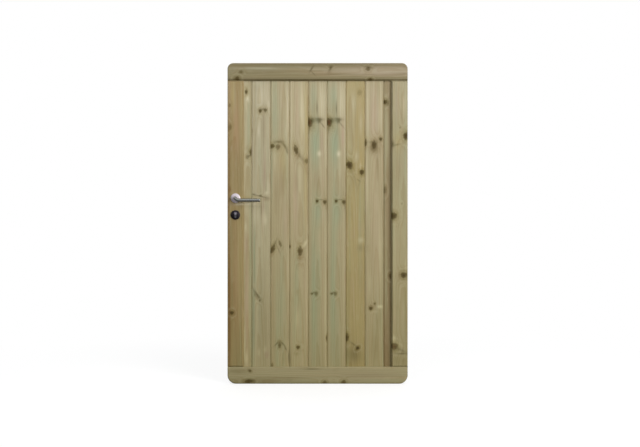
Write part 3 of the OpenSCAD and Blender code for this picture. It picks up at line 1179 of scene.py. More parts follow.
@dataclass
class Lock:
    """The mortice lock in the lock stile: case, faceplate, bolts and screws. Sizes in millimetres."""

    face_finish: MetalFinish
    bolt_finish: MetalFinish
    case_finish: MetalFinish
    screw_r: float = 4.2
    shank_r: float = 2.3
    shank_l: float = 0.6
    rim_bevel: float = 0.15
    screw_drop: float = 0.15
    recess_arm: float = 2.3
    recess_waist: float = 0.75
    recess_depth: float = 1.2
    recess_floor: float = 0.6
    recess_turn: float = 0.4
    screw_from_end: float = 12.0
    fixing_drop: float = 16.5
    around: int = 48

    def build(self) -> None:
        """Dress the lock's metalwork and put in its screws."""
        dress("lock_faceplate", self.face_finish.material())
        bolts = self.bolt_finish.material()
        for node in ("latch_bolt", "dead_bolt"):
            dress(node, bolts)
        plated = self.case_finish.material()
        dress("lock_case", plated)
        low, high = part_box("lock_faceplate")
        plug_low, plug_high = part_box("front_plug")
        plug_z = (plug_low.z + plug_high.z) / 2
        heights = (high.z - self.screw_from_end * MM, low.z + self.screw_from_end * MM,
                   plug_z - self.fixing_drop * MM)
        for number, z in enumerate(heights, start=1):
            self.screw(number, Vector((low.x, 0.0, z)), plated)

    def screw(self, number: int, seat: Vector, material: bpy.types.Material) -> None:
        """Build a countersunk screw with a cross recess.

        Args:
            number: which screw it is, from 1.
            seat: the middle of its hole at the faceplate's surface.
            material: its material.
        """
        drop, floor = self.screw_drop, self.screw_drop + self.recess_depth
        neck = self.screw_r - self.shank_r + drop
        plain = [
            (self.shank_r, neck + self.shank_l),
            (self.shank_r, neck),
            (self.screw_r, drop + self.rim_bevel),
            (self.screw_r - self.rim_bevel, drop),
        ]
        rings = [self.ring(seat, depth, [radius] * self.around) for radius, depth in plain]
        cross = self.cross()
        rings.append(self.ring(seat, drop, cross))
        rings.append(self.ring(seat, floor, [radius * self.recess_floor for radius in cross]))
        shell = Shell(f"faceplate_screw_{number}")
        shell.skin(rings)
        shell.finish(LEAF, material, "zinc_plate")

    def cross(self) -> list[float]:
        """Draw a cross recess.

        Returns:
            How far it reaches from its middle, for each point round it.
        """
        reach = []
        for k in range(self.around):
            turn = math.tau * k / self.around + self.recess_turn
            arm = max(abs(math.cos(turn)), abs(math.sin(turn)))
            reach.append(min(self.recess_waist / math.sqrt(1.0001 - arm * arm), self.recess_arm))
        return reach

    def ring(self, seat: Vector, depth: float, radii: Sequence[float]) -> list[Vector]:
        """Return a ring of points round the screw's axis, at a depth under the faceplate's surface."""
        turns = [math.tau * k / len(radii) for k in range(len(radii))]
        return [seat + Vector((depth, r * math.cos(a), r * math.sin(a))) * MM for a, r in zip(turns, radii)]


@dataclass
class KeyCylinder:
    """The profile cylinder with its two plugs, and the dark roses round it. Sizes in millimetres."""

    rose_finish: MetalFinish
    body_finish: MetalFinish
    plug_finish: MetalFinish
    bevel: float = 0.7
    keyway_w: float = 1.9
    keyway_h: float = 8.4
    keyway_depth: float = 21.0
    keyway_rows: int = 20
    ward: float = 0.55

    def build(self) -> None:
        """Dress the cylinder and its roses, and build the plugs with their keyways."""
        dark = self.rose_finish.material()
        nickel = self.plug_finish.material()
        for side in Side:
            dress(side.word + "_cylinder_rose", dark)
            self.plug(side, nickel)
        dress("lock_cylinder", self.body_finish.material())

    def plug(self, side: Side, material: bpy.types.Material) -> None:
        """Build a plug, its rim bevelled and its keyway warded.

        Args:
            side: the face of the leaf that it shows on.
            material: its material.
        """
        node = side.word + "_plug"
        low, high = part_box(node)
        near, far = sorted((abs(low.y), abs(high.y)))
        radius = (high.x - low.x) / 2 / MM
        seat = Seat(side, (low.x + high.x) / 2, (low.z + high.z) / 2, 0.0)
        slot = self.keyway()
        turns = [math.tau * (k + 0.5) / len(slot) for k in range(len(slot))]
        outline = [(radius, near / MM), (radius, far / MM - self.bevel), (radius - self.bevel, far / MM)]
        rings = [[seat.point(r * math.sin(a), r * math.cos(a), out) for a in turns] for r, out in outline]
        for out in (far / MM, far / MM - self.keyway_depth):
            rings.append([seat.point(x, z, out) for x, z in slot])
        shell = Shell(node + "_dressed")
        shell.skin(rings)
        piece = shell.finish(LEAF, material, "nickel")
        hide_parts(node)

    def keyway(self) -> Outline:
        """Draw the keyway, with a ward half way down.

        Returns:
            Its outline, from its top round by the right.
        """
        half, tall = self.keyway_w / 2, self.keyway_h / 2
        rows = [tall - self.keyway_h * (k + 0.5) / self.keyway_rows for k in range(self.keyway_rows)]
        shift = [self.ward * math.tanh(row * 2.5) for row in rows]
        right = [(half + s, row) for row, s in zip(rows, shift)]
        left = [(-half + s, row) for row, s in zip(rows, shift)]
        return right + left[::-1]


# ---- Studio ----


@dataclass(frozen=True)
class Lamp:
    """A soft round lamp: where it hangs and what it points at, its width, power and tint.

    mirrored says whether metal shows it.
    """

    name: str
    place: Place
    aim: Place
    size: float
    power: float
    colour: Colour = (1.0, 0.985, 0.955)
    mirrored: bool = True

    def hang(self) -> None:
        """Put the lamp in the scene."""
        light = bpy.data.lights.new(self.name, "AREA")
        light.shape = "DISK"
        light.size = self.size
        light.energy = self.power
        light.color = self.colour
        holder = bpy.data.objects.new(self.name, light)
        holder.location = self.place
        aim = Vector(self.aim) - Vector(self.place)
        holder.rotation_euler = aim.to_track_quat("-Z", "Y").to_euler()
        holder.visible_glossy = self.mirrored
        bpy.context.scene.collection.objects.link(holder)


@dataclass
class Studio:
    """Floor, light and camera. Lengths are in metres.

    view_w is the width that the camera takes in at the leaf's face, and fade is where the floor turns
    white. sky and ground light the room between the heights of dome, and behind is how much brighter it
    is behind the gate. mirrored, horizon and lean are the room as metal shows it: how dark and bright it
    is, where it turns, and how much brighter it is on the right.
    """

    lens: float = 50.0
    view_w: float = 3.549
    view_x: float = -0.4866
    view_z: float = 0.6395
    lamps: tuple[Lamp, ...] = (
        Lamp("key", (3.4, -4.7, 1.5), (-0.5, 0.0, 1.1), 3.6, 326.0),
        Lamp("front_lamp", (-1.6, -2.4, 2.6), (-0.6, 0.0, 1.6), 1.8, 20.0, mirrored=False),
    )
    floor_half: float = 14.0
    floor_grey: Colour = (0.36, 0.36, 0.36)
    floor_glow: float = 0.73
    floor_unseen: Colour = (0.25, 0.25, 0.25)
    fade: tuple[float, float] = (0.8, 2.6)
    white: Colour = (1.0, 1.0, 1.0)
    daylight: Colour = (0.97, 0.985, 1.0)
    sky: float = 0.50
    ground: float = 0.10
    dome: tuple[float, float] = (-0.4, 0.7)
    behind: float = 1.6
    behind_from: tuple[float, float] = (0.1, 0.9)
    mirrored: tuple[float, float] = (0.05, 1.0)
    horizon: tuple[float, float] = (-0.30, 0.36)
    lean: float = 0.30

    def build(self) -> None:
        """Set up floor, lamps, world and camera."""
        self.floor()
        for lamp in self.lamps:
            lamp.hang()
        self.world()
        self.camera()

    def floor(self) -> None:
        """Lay a pale floor that keeps the gate's shadow and fades to white further out."""
        material, g = new_material("pale_floor")
        x, y, _ = g.split(g.node("TexCoord").outputs["Object"])
        reach = g.math("SQRT", g.add(g.times(x, x), g.times(y, y)))
        speckle = g.noise(g.join(g.times(x, 3.0), g.times(y, 3.0), 0.0))
        white = g.node("Emission", {"Color": self.white, "Strength": 1.0})
        lit = g.node("BsdfDiffuse", {"Color": g.shade(self.floor_grey, g.scaled(speckle, 0.01, 1.0))})
        base = g.node("Emission", {"Color": self.white, "Strength": self.floor_glow})
        both = g.node("AddShader", {0: lit.outputs[0], 1: base.outputs[0]})
        far = g.node("MixShader", {0: g.step(reach, *self.fade), 1: both.outputs[0], 2: white.outputs[0]})
        plain = g.node("BsdfDiffuse", {"Color": self.floor_unseen})
        shader = g.node("MixShader", {0: self.seen(g), 1: plain.outputs[0], 2: far.outputs[0]})
        g.node("OutputMaterial", {"Surface": shader.outputs[0]})
        half = self.floor_half
        mesh = bpy.data.meshes.new("floor")
        corners = [(-half, -half, 0.0), (half, -half, 0.0), (half, half, 0.0), (-half, half, 0.0)]
        mesh.from_pydata(corners, [], [(0, 1, 2, 3)])
        mesh.materials.append(material)
        floor = bpy.data.objects.new("floor", mesh)
        bpy.context.scene.collection.objects.link(floor)
        floor.location = (self.view_x, 0.0, CAD_BOX[0][2])

    def seen(self, g: Graph) -> bpy.types.NodeSocket:
        """Return 1 for what the eye sees, directly or through glass, and 0 for what lights the gate."""
        ray = g.node("LightPath").outputs
        return g.math("MAXIMUM", ray["Is Camera Ray"], ray["Is Transmission Ray"])

    def world(self) -> None:
        """Light the room from all round: bright above, dim below, white where it is seen."""
        world = bpy.data.worlds.new("room")
        world.use_nodes = True
        bpy.context.scene.world = world
        g = Graph(world.node_tree)
        right, back, up = g.split(g.node("TexCoord").outputs["Generated"])
        dusk, noon = self.dome
        ends = {"Value": up, "From Min": dusk, "From Max": noon, "To Min": self.ground, "To Max": self.sky}
        level = g.node("MapRange", ends).outputs[0]
        level = g.times(level, g.scaled(g.step(back, *self.behind_from), self.behind, 1.0))
        low, high = self.mirrored
        lean = g.add(up, g.times(right, self.lean))
        mirror = g.scaled(g.step(lean, *self.horizon), high - low, low)
        glossy = g.node("LightPath").outputs["Is Glossy Ray"]
        level = g.add(g.times(mirror, glossy), g.times(level, g.scaled(glossy, -1.0, 1.0)))
        light = g.shade(self.daylight, level)
        colour = g.mix(self.seen(g), light, self.white)
        background = g.node("Background", {"Color": colour})
        g.node("OutputWorld", {"Surface": background.outputs[0]})

    def camera(self) -> None:
        """Stand the camera square in front of the gate."""
        data = bpy.data.cameras.new("camera")
        data.lens = self.lens
        distance = self.view_w * self.lens / data.sensor_width
        holder = bpy.data.objects.new("camera", data)
        holder.location = (self.view_x, -LEAF_HALF - distance, self.view_z)
        holder.rotation_euler = (math.radians(90), 0.0, 0.0)
        bpy.context.scene.collection.objects.link(holder)
        bpy.context.scene.camera = holder


# ---- This gate ----


LIVE = KnotKind.LIVE

# What shows on each piece, placed one by one. A Knot's numbers are its place, its radius, and then, where
# they are given, its kind, strength and stretch. A Patch's are its place, half its width and height, its
# strength and its tilt.
FRAME_TIMBERS = {
    "top_rail": Timber(
        Tint.OLIVE, (8, 50), 1.0, Grain.LEVEL, 0.79,
        knots=(
            Knot(54, 1694, 8.5, stretch=1.3), Knot(75, 1731, 7, strength=0.4),
            Knot(780, 1747, 9, strength=0.6), Knot(792, 1689, 6, strength=0.8, stretch=1.5),
            Knot(572, 1758, 6, LIVE, 0.35),
        ),
        patches=(
            Patch(Tint.GREEN, 240, 1750, 10, 160, 0.3), Patch(Tint.TAN, 480, 1742, 16, 240, 0.8),
            Patch(Tint.PINK, 840, 1735, 26, 220, 0.8), Patch(Tint.CREAM, 850, 1738, 16, 200, 0.5),
            # The OLIVE stripes near z 1700 here are an olive tint with painted shade along the rail's lower
            # edge.
            Patch(Tint.OLIVE, 420, 1702, 12, 380, 0.6), Patch(Tint.OLIVE, 230, 1700, 12, 260, 0.7),
            Patch(Tint.CREAM, 150, 1752, 6, 150, 0.5), Patch(Tint.ORANGE, 520, 1722, 12, 90, 0.3),
            Patch(Tint.CREAM, 950, 1688, 5, 40, 0.5), Patch(Tint.UMBER, 467, 1748, 5, 20, 0.75, -58),
            Patch(Tint.UMBER, 476, 1722, 3, 18, 0.45, 45), Patch(Tint.UMBER, 571, 1748, 6, 18, 0.7, -62),
            Patch(Tint.BROWN, 566, 1728, 12, 14, 0.6), Patch(Tint.UMBER, 780, 1757, 5, 30, 0.5, 12),
            # The OLIVE stripe at z 1697 on this line is an olive tint with painted shade along the rail's
            # lower edge.
            Patch(Tint.OLIVE, 700, 1697, 7, 320, 0.6), Patch(Tint.UMBER, 500, 1767, 8, 900, 0.3),
            # The UMBER stripe at z 1687 is painted shade on the rail's lower chamfer, which faces down.
            Patch(Tint.UMBER, 500, 1687, 7, 900, 0.85),
        ),
    ),
    "bottom_rail": Timber(
        Tint.CREAM, (-30, 42), 2.0, Grain.LEVEL, 0.79,
        knots=(
            Knot(125, 73, 6, strength=0.6, stretch=1.4, tilt=35), Knot(116, 14, 8, stretch=2.2),
            Knot(540, 9, 8, strength=0.6), Knot(645, 10, 9, strength=0.7),
        ),
        patches=(
            Patch(Tint.OLIVE, 150, 20, 18, 200, 0.6), Patch(Tint.PINK, 800, 50, 24, 220, 0.5),
            Patch(Tint.OLIVE, 60, 70, 16, 70, 0.5), Patch(Tint.CREAM, 420, 62, 6, 160, 0.4),
            Patch(Tint.BROWN, 330, 34, 5, 120, 0.4), Patch(Tint.CREAM, 830, 66, 18, 200, 0.45),
            Patch(Tint.UMBER, 468, 82, 4, 46, 0.5), Patch(Tint.UMBER, 132, 18, 8, 26, 0.6),
        ),
    ),
    "lock_stile": Timber(
        Tint.AMBER, (-12, 60), 3.0, value=1.0,
        knots=(
            Knot(14, 1424, 8, LIVE, 0.4, 1.6), Knot(25, 394, 8.5, stretch=1.1),
            Knot(14, 1545, 4, LIVE, 0.4, 2.0),
        ),
        patches=(
            Patch(Tint.ORANGE, 50, 1420, 17, 190, 0.85), Patch(Tint.GOLD, 30, 1600, 12, 80, 0.5),
            Patch(Tint.YELLOW, 74, 1480, 8, 200, 0.55), Patch(Tint.OLIVE, 84, 1180, 5, 200, 0.4),
            Patch(Tint.ORANGE, 45, 560, 16, 300, 0.55), Patch(Tint.YELLOW, 70, 700, 14, 260, 0.6),
            # The two long RUST stripes near the lock edge are a reddish tint with painted shade on the arris
            # that faces away from the light.
            Patch(Tint.RUST, 8, 1130, 6, 420, 0.5), Patch(Tint.RUST, 10, 420, 7, 420, 0.9),
            # The PALE stripe at z 998 on this line is painted light that makes up for the lever's shadow
            # below the grip.
            Patch(Tint.PINK, 60, 997, 34, 9, 0.6), Patch(Tint.PALE, 68, 998, 26, 7, 0.75),
            # The YELLOW stripe at z 1038 on this line is painted light in a strip just above the lever.
            Patch(Tint.RUST, 14, 1078, 6, 16, 0.7), Patch(Tint.YELLOW, 72, 1038, 16, 6, 0.5),
        ),
    ),
    "hinge_stile": Timber(
        Tint.GREY, (20, 48), 4.0, value=0.96,
        knots=(
            Knot(991, 1375, 12, strength=1.0, stretch=1.5), Knot(922, 932, 13, strength=0.95),
            Knot(978, 603, 13, strength=0.9, stretch=1.1), Knot(926, 208, 14, LIVE, 0.75, 1.2),
            Knot(958, 1422, 4, strength=0.3), Knot(968, 1000, 3.5, strength=0.2),
        ),
        patches=(
            # The long UMBER stripe at x 913 on this line is painted shade on the stile's inner chamfer,
            # which faces away from the light.
            Patch(Tint.UMBER, 913, 900, 4, 3000, 0.2), Patch(Tint.UMBER, 968, 168, 36, 5, 0.75),
            Patch(Tint.OLIVE, 955, 130, 50, 34, 0.6), Patch(Tint.UMBER, 962, 188, 34, 8, 0.5, -24),
            Patch(Tint.OLIVE, 992, 380, 12, 330, 0.6), Patch(Tint.GREEN, 988, 1250, 9, 400, 0.4),
            Patch(Tint.PALE, 980, 1540, 8, 60, 0.4), Patch(Tint.YELLOW, 945, 1345, 22, 50, 0.6),
            Patch(Tint.UMBER, 938, 1326, 24, 6, 0.45, 14), Patch(Tint.UMBER, 917, 1330, 8, 20, 0.7),
            Patch(Tint.PINK, 940, 1560, 14, 90, 0.4), Patch(Tint.BROWN, 950, 1180, 16, 90, 0.4),
            Patch(Tint.PALE, 924, 250, 9, 16, 0.8), Patch(Tint.CREAM, 948, 226, 26, 6, 0.6, -34),
            Patch(Tint.BROWN, 952, 600, 16, 30, 0.6), Patch(Tint.CREAM, 988, 655, 5, 34, 0.5),
            Patch(Tint.BROWN, 962, 1500, 3, 60, 0.4, 12), Patch(Tint.CREAM, 928, 700, 8, 200, 0.4),
        ),
    ),
}

BOARD_TIMBERS = {
    "board_1": Timber(
        Tint.TAN, (4, 55), 11.0, value=1.07,
        knots=(
            Knot(103, 1621, 6, stretch=1.9), Knot(132, 1287, 9, stretch=1.8),
            Knot(111, 1261, 8, strength=0.4),
        ),
        patches=(
            Patch(Tint.PALE, 112, 1584, 9, 20, 1.0), Patch(Tint.PALE, 104, 1545, 5, 40, 0.5),
            Patch(Tint.GREEN, 118, 1440, 14, 170, 0.5), Patch(Tint.OLIVE, 128, 1440, 5, 160, 0.6),
            Patch(Tint.CREAM, 100, 1400, 7, 220, 0.45), Patch(Tint.UMBER, 124, 1268, 10, 5, 0.5, 40),
            Patch(Tint.CREAM, 106, 1232, 7, 14, 0.5), Patch(Tint.PINK, 105, 450, 9, 380, 0.7),
            Patch(Tint.CREAM, 100, 872, 6, 30, 0.8), Patch(Tint.PINK, 101, 770, 8, 40, 0.6),
            Patch(Tint.PALE, 103, 142, 10, 44, 0.7), Patch(Tint.CREAM, 93, 220, 6, 130, 0.6),
            Patch(Tint.CREAM, 92, 1620, 7, 60, 0.6), Patch(Tint.ORANGE, 110, 340, 8, 60, 0.4),
            # The YELLOW stripe at z 1038 on this line is painted light in a strip just above the lever.
            Patch(Tint.GREEN, 127, 700, 6, 400, 0.6), Patch(Tint.YELLOW, 108, 1038, 26, 6, 0.7),
            # The PALE stripe at z 998 on this line is painted light that makes up for the lever's shadow
            # below the grip.
            Patch(Tint.CREAM, 105, 968, 18, 36, 0.6), Patch(Tint.PALE, 112, 998, 30, 7, 0.9),
        ),
    ),
    "board_2": Timber(
        Tint.CREAM, (-14, 45), 12.0, value=0.86,
        knots=(
            Knot(181, 1515, 6.5, strength=0.85, stretch=1.5), Knot(210, 1519, 7, strength=0.6),
            Knot(162, 484, 7, strength=0.25, stretch=2.4, tilt=36), Knot(179, 462, 4, strength=0.5),
            Knot(184, 1046, 6, LIVE, 0.35, 0.6),
        ),
        patches=(
            Patch(Tint.PALE, 195, 1595, 34, 60, 0.55), Patch(Tint.UMBER, 197, 1524, 20, 7, 0.6),
            Patch(Tint.PALE, 172, 1406, 7, 34, 0.8), Patch(Tint.BROWN, 200, 1430, 10, 120, 0.45),
            Patch(Tint.CREAM, 231, 1400, 6, 260, 0.9), Patch(Tint.PALE, 228, 1545, 6, 30, 0.8),
            Patch(Tint.TAN, 150, 1400, 9, 240, 0.5), Patch(Tint.PINK, 206, 1170, 9, 110, 0.8),
            Patch(Tint.UMBER, 182, 1041, 38, 4, 0.75, -13), Patch(Tint.UMBER, 146, 1051, 8, 5, 0.8, -13),
            Patch(Tint.PALE, 226, 1085, 6, 36, 0.8), Patch(Tint.PALE, 217, 1060, 9, 12, 0.9, -40),
            Patch(Tint.BROWN, 187, 965, 3, 60, 0.8), Patch(Tint.BROWN, 215, 1026, 22, 12, 0.5),
            Patch(Tint.PALE, 210, 908, 8, 30, 0.9), Patch(Tint.PINK, 198, 950, 6, 70, 0.9),
            Patch(Tint.PALE, 164, 945, 9, 70, 0.5), Patch(Tint.GREEN, 149, 720, 7, 220, 0.7),
            Patch(Tint.GREEN, 142, 330, 8, 260, 0.6), Patch(Tint.TAN, 200, 300, 30, 260, 0.8),
            Patch(Tint.UMBER, 163, 496, 6, 36, 0.6, 36), Patch(Tint.CREAM, 149, 545, 5, 18, 0.9),
            Patch(Tint.PALE, 209, 186, 9, 20, 0.5), Patch(Tint.PINK, 218, 160, 11, 20, 0.9),
            Patch(Tint.PALE, 174, 172, 8, 22, 0.7), Patch(Tint.CREAM, 232, 700, 5, 300, 0.6),
            # The YELLOW stripe at z 1038 on this line is painted light in a strip just above the lever.
            Patch(Tint.YELLOW, 152, 1038, 18, 6, 0.6), Patch(Tint.PALE, 147, 940, 12, 66, 0.5),
            # The PALE stripe at z 998 on this line is painted light that makes up for the lever's shadow
            # below the grip.
            Patch(Tint.PALE, 200, 928, 10, 50, 0.6), Patch(Tint.PALE, 148, 998, 12, 7, 0.7),
        ),
    ),
    "board_3": Timber(
        Tint.TAN, (22, 50), 13.0, value=1.03,
        knots=(
            Knot(249, 1320, 9, stretch=1.4, tilt=-30), Knot(280, 1316, 10.5, LIVE, 0.55, 1.3),
            Knot(250, 746, 9, stretch=2.3, tilt=-20), Knot(292, 777, 6, strength=0.5, stretch=2.6, tilt=22),
            Knot(289, 213, 7, strength=0.6, stretch=2.0), Knot(248, 101, 5, strength=0.45, stretch=2.2),
        ),
        patches=(
            Patch(Tint.GREEN, 270, 1480, 22, 170, 0.4), Patch(Tint.PALE, 332, 1500, 10, 160, 0.5),
            Patch(Tint.UMBER, 284, 1344, 26, 8, 0.75), Patch(Tint.UMBER, 314, 1324, 8, 30, 0.85, 36),
            Patch(Tint.UMBER, 330, 1290, 5, 16, 0.6, 20), Patch(Tint.YELLOW, 305, 1240, 22, 90, 0.6),
            Patch(Tint.CREAM, 262, 1250, 8, 60, 0.5), Patch(Tint.BROWN, 300, 1110, 12, 90, 0.5),
            Patch(Tint.BROWN, 270, 1060, 12, 110, 0.35), Patch(Tint.UMBER, 262, 778, 5, 30, 0.5, -24),
            # The OLIVE stripe at x 252 on this line is painted shade beside the V joint on the board's left.
            Patch(Tint.UMBER, 283, 745, 4, 30, 0.4, 20), Patch(Tint.OLIVE, 252, 500, 5, 260, 0.55),
            Patch(Tint.GREEN, 245, 1180, 6, 160, 0.5), Patch(Tint.GREEN, 300, 500, 14, 250, 0.5),
            Patch(Tint.CREAM, 338, 600, 6, 300, 0.6), Patch(Tint.UMBER, 273, 222, 5, 17, 0.75, -42),
            Patch(Tint.UMBER, 306, 221, 5, 18, 0.75, 42), Patch(Tint.OLIVE, 290, 236, 20, 8, 0.6),
            Patch(Tint.UMBER, 322, 196, 5, 16, 0.6, 25), Patch(Tint.UMBER, 343, 146, 6, 32, 0.8),
            Patch(Tint.PINK, 320, 900, 12, 120, 0.5),
        ),
    ),
    "board_4": Timber(
        Tint.TAN, (6, 52), 14.0, value=1.06,
        knots=(
            Knot(380, 1300, 9.5, strength=0.75, stretch=2.2, tilt=14),
            Knot(346, 761, 4.5, strength=0.6, stretch=1.9), Knot(403, 736, 11, strength=0.75, stretch=2.0),
            Knot(440, 1238, 9, strength=0.5, stretch=1.3), Knot(391, 201, 8, stretch=1.1),
        ),
        patches=(
            Patch(Tint.UMBER, 402, 1264, 9, 42, 0.75, 38), Patch(Tint.BROWN, 438, 1192, 13, 50, 0.75, 18),
            Patch(Tint.BROWN, 390, 1262, 13, 34, 0.5), Patch(Tint.PINK, 386, 1480, 14, 170, 0.4),
            Patch(Tint.CREAM, 412, 1490, 9, 180, 0.95), Patch(Tint.YELLOW, 436, 1450, 17, 210, 0.85),
            Patch(Tint.PALE, 424, 1480, 8, 130, 0.35), Patch(Tint.CREAM, 354, 1430, 7, 220, 0.7),
            Patch(Tint.PINK, 378, 1000, 12, 180, 0.6), Patch(Tint.YELLOW, 435, 1050, 9, 200, 0.6),
            Patch(Tint.BROWN, 402, 700, 12, 34, 0.6), Patch(Tint.PALE, 428, 775, 8, 24, 0.8, -30),
            Patch(Tint.CREAM, 388, 360, 9, 50, 0.6), Patch(Tint.BROWN, 386, 1110, 14, 60, 0.35),
            Patch(Tint.CREAM, 443, 560, 6, 300, 0.7), Patch(Tint.CREAM, 400, 1120, 8, 120, 0.5),
            Patch(Tint.OLIVE, 384, 166, 18, 12, 0.6), Patch(Tint.OLIVE, 387, 508, 7, 20, 0.6),
            Patch(Tint.OLIVE, 352, 140, 5, 40, 0.5),
        ),
    ),
    "board_5": Timber(
        Tint.TAN, (0, 40), 15.0, value=1.0,
        knots=(
            Knot(455, 1452, 12, LIVE, 0.95, 1.8, 14), Knot(497, 1014, 6, strength=0.9), Knot(540, 1009, 8),
            Knot(469, 499, 6, strength=0.6, stretch=0.8), Knot(492, 498, 7, strength=0.5),
            Knot(553, 252, 5, stretch=2.4),
        ),
        patches=(
            Patch(Tint.CREAM, 522, 1560, 28, 110, 1.0), Patch(Tint.GREEN, 478, 1590, 18, 90, 0.6),
            Patch(Tint.UMBER, 490, 1466, 30, 12, 1.0), Patch(Tint.UMBER, 494, 1468, 32, 7, 0.9),
            Patch(Tint.UMBER, 474, 1460, 14, 13, 0.8), Patch(Tint.UMBER, 508, 1459, 10, 15, 0.9, -30),
            Patch(Tint.UMBER, 497, 1530, 4, 36, 0.6), Patch(Tint.OLIVE, 484, 1520, 8, 50, 0.45),
            Patch(Tint.UMBER, 530, 1434, 4, 30, 0.6, 38), Patch(Tint.UMBER, 455, 1412, 4, 26, 0.6),
            Patch(Tint.GREEN, 486, 1330, 26, 130, 1.0), Patch(Tint.CREAM, 545, 1330, 7, 160, 0.85),
            Patch(Tint.PINK, 524, 1330, 9, 90, 0.6), Patch(Tint.CREAM, 510, 1277, 13, 15, 0.95),
            Patch(Tint.PALE, 508, 1279, 9, 13, 0.5), Patch(Tint.OLIVE, 496, 1042, 5, 26, 0.5),
            Patch(Tint.OLIVE, 536, 1050, 5, 32, 0.5), Patch(Tint.UMBER, 546, 984, 4, 22, 0.5),
            Patch(Tint.GREEN, 480, 480, 18, 400, 0.85), Patch(Tint.CREAM, 545, 480, 7, 400, 0.8),
            Patch(Tint.BROWN, 500, 1130, 24, 60, 0.3), Patch(Tint.GREEN, 500, 960, 24, 90, 0.8),
            Patch(Tint.UMBER, 518, 1022, 14, 4, 0.5), Patch(Tint.UMBER, 482, 506, 14, 5, 0.6),
            Patch(Tint.CREAM, 520, 1200, 8, 90, 0.5), Patch(Tint.CREAM, 540, 880, 6, 160, 0.2),
        ),
    ),
    "board_6": Timber(
        Tint.TAN, (2, 40), 15.6, value=0.99,
        knots=(
            Knot(563, 1452, 12, LIVE, 1.0, 1.7, 14), Knot(603, 1014, 6, strength=0.9), Knot(646, 1009, 8),
            Knot(579, 499, 6, strength=0.6, stretch=0.8), Knot(599, 498, 7, strength=0.5),
        ),
        patches=(
            Patch(Tint.CREAM, 630, 1560, 26, 110, 1.0), Patch(Tint.GREEN, 590, 1590, 20, 90, 0.8),
            Patch(Tint.UMBER, 596, 1466, 30, 12, 1.0), Patch(Tint.UMBER, 600, 1468, 32, 7, 0.9),
            Patch(Tint.UMBER, 580, 1460, 14, 13, 0.8), Patch(Tint.UMBER, 615, 1459, 10, 15, 0.9, -30),
            Patch(Tint.UMBER, 604, 1528, 4, 38, 0.7), Patch(Tint.OLIVE, 590, 1520, 8, 50, 0.5),
            Patch(Tint.UMBER, 636, 1434, 4, 30, 0.6, 38), Patch(Tint.UMBER, 562, 1410, 4, 26, 0.7),
            Patch(Tint.GREEN, 594, 1330, 26, 130, 1.0), Patch(Tint.CREAM, 652, 1330, 6, 160, 0.85),
            Patch(Tint.PINK, 641, 1372, 8, 70, 0.9), Patch(Tint.PALE, 617, 1277, 12, 16, 0.8),
            Patch(Tint.OLIVE, 602, 1042, 5, 26, 0.5), Patch(Tint.OLIVE, 642, 1052, 5, 32, 0.6),
            Patch(Tint.UMBER, 650, 984, 4, 24, 0.5), Patch(Tint.GREEN, 586, 480, 18, 400, 0.85),
            Patch(Tint.CREAM, 644, 480, 7, 400, 0.35), Patch(Tint.GREEN, 605, 960, 24, 90, 0.8),
            Patch(Tint.UMBER, 625, 1022, 14, 4, 0.5), Patch(Tint.UMBER, 590, 506, 14, 5, 0.6),
            Patch(Tint.CREAM, 626, 1200, 8, 90, 0.5), Patch(Tint.CREAM, 644, 900, 6, 200, 0.2),
        ),
    ),
    "board_7": Timber(
        Tint.YELLOW, (-30, 46), 17.0, value=0.95,
        knots=(
            Knot(677, 1215, 13, strength=1.0, stretch=1.5, tilt=20),
            Knot(746, 1175, 10, strength=0.95, stretch=1.3), Knot(735, 1618, 11, strength=0.22),
            Knot(723, 197, 6.5, strength=0.95, stretch=1.5, tilt=-40), Knot(664, 256, 8, stretch=2.4),
        ),
        patches=(
            Patch(Tint.GOLD, 720, 1480, 12, 160, 0.6), Patch(Tint.TAN, 690, 1450, 22, 180, 0.6),
            Patch(Tint.CREAM, 740, 1440, 9, 60, 0.5), Patch(Tint.GOLD, 740, 1230, 10, 50, 0.6),
            Patch(Tint.CREAM, 716, 1262, 11, 30, 0.6), Patch(Tint.OLIVE, 706, 1135, 7, 62, 0.6, 14),
            Patch(Tint.OLIVE, 737, 1130, 6, 58, 0.6, -18), Patch(Tint.OLIVE, 738, 752, 17, 20, 0.85),
            Patch(Tint.CREAM, 741, 797, 17, 15, 0.8), Patch(Tint.UMBER, 698, 158, 44, 50, 0.5),
            Patch(Tint.CREAM, 668, 1350, 7, 200, 0.4), Patch(Tint.UMBER, 728, 1130, 14, 4, 0.35, -40),
            Patch(Tint.OLIVE, 742, 600, 14, 120, 0.35), Patch(Tint.CREAM, 700, 1560, 14, 60, 0.5),
            Patch(Tint.UMBER, 700, 218, 26, 5, 0.5, -38), Patch(Tint.OLIVE, 690, 1120, 16, 60, 0.4),
            Patch(Tint.PALE, 738, 1205, 5, 22, 0.5),
        ),
    ),
    "board_8": Timber(
        Tint.TAN, (10, 44), 18.0, value=1.0,
        knots=(
            Knot(768, 1338, 6, strength=0.7, stretch=3.0), Knot(814, 1328, 10, stretch=1.9),
            Knot(851, 1359, 7), Knot(796, 417, 7.5, strength=0.85, stretch=1.2),
            Knot(818, 444, 4.5, strength=0.55),
        ),
        patches=(
            Patch(Tint.CREAM, 779, 1490, 7, 180, 0.95), Patch(Tint.PINK, 815, 1500, 24, 160, 0.7),
            Patch(Tint.CREAM, 853, 1500, 7, 140, 0.7), Patch(Tint.BROWN, 815, 1310, 30, 34, 0.75),
            Patch(Tint.UMBER, 806, 1308, 20, 24, 0.35), Patch(Tint.UMBER, 818, 1318, 13, 30, 0.45),
            Patch(Tint.BROWN, 848, 1350, 10, 60, 0.5), Patch(Tint.UMBER, 800, 1342, 22, 6, 0.4),
            Patch(Tint.CREAM, 775, 1120, 7, 180, 0.7), Patch(Tint.PINK, 820, 800, 28, 300, 0.25),
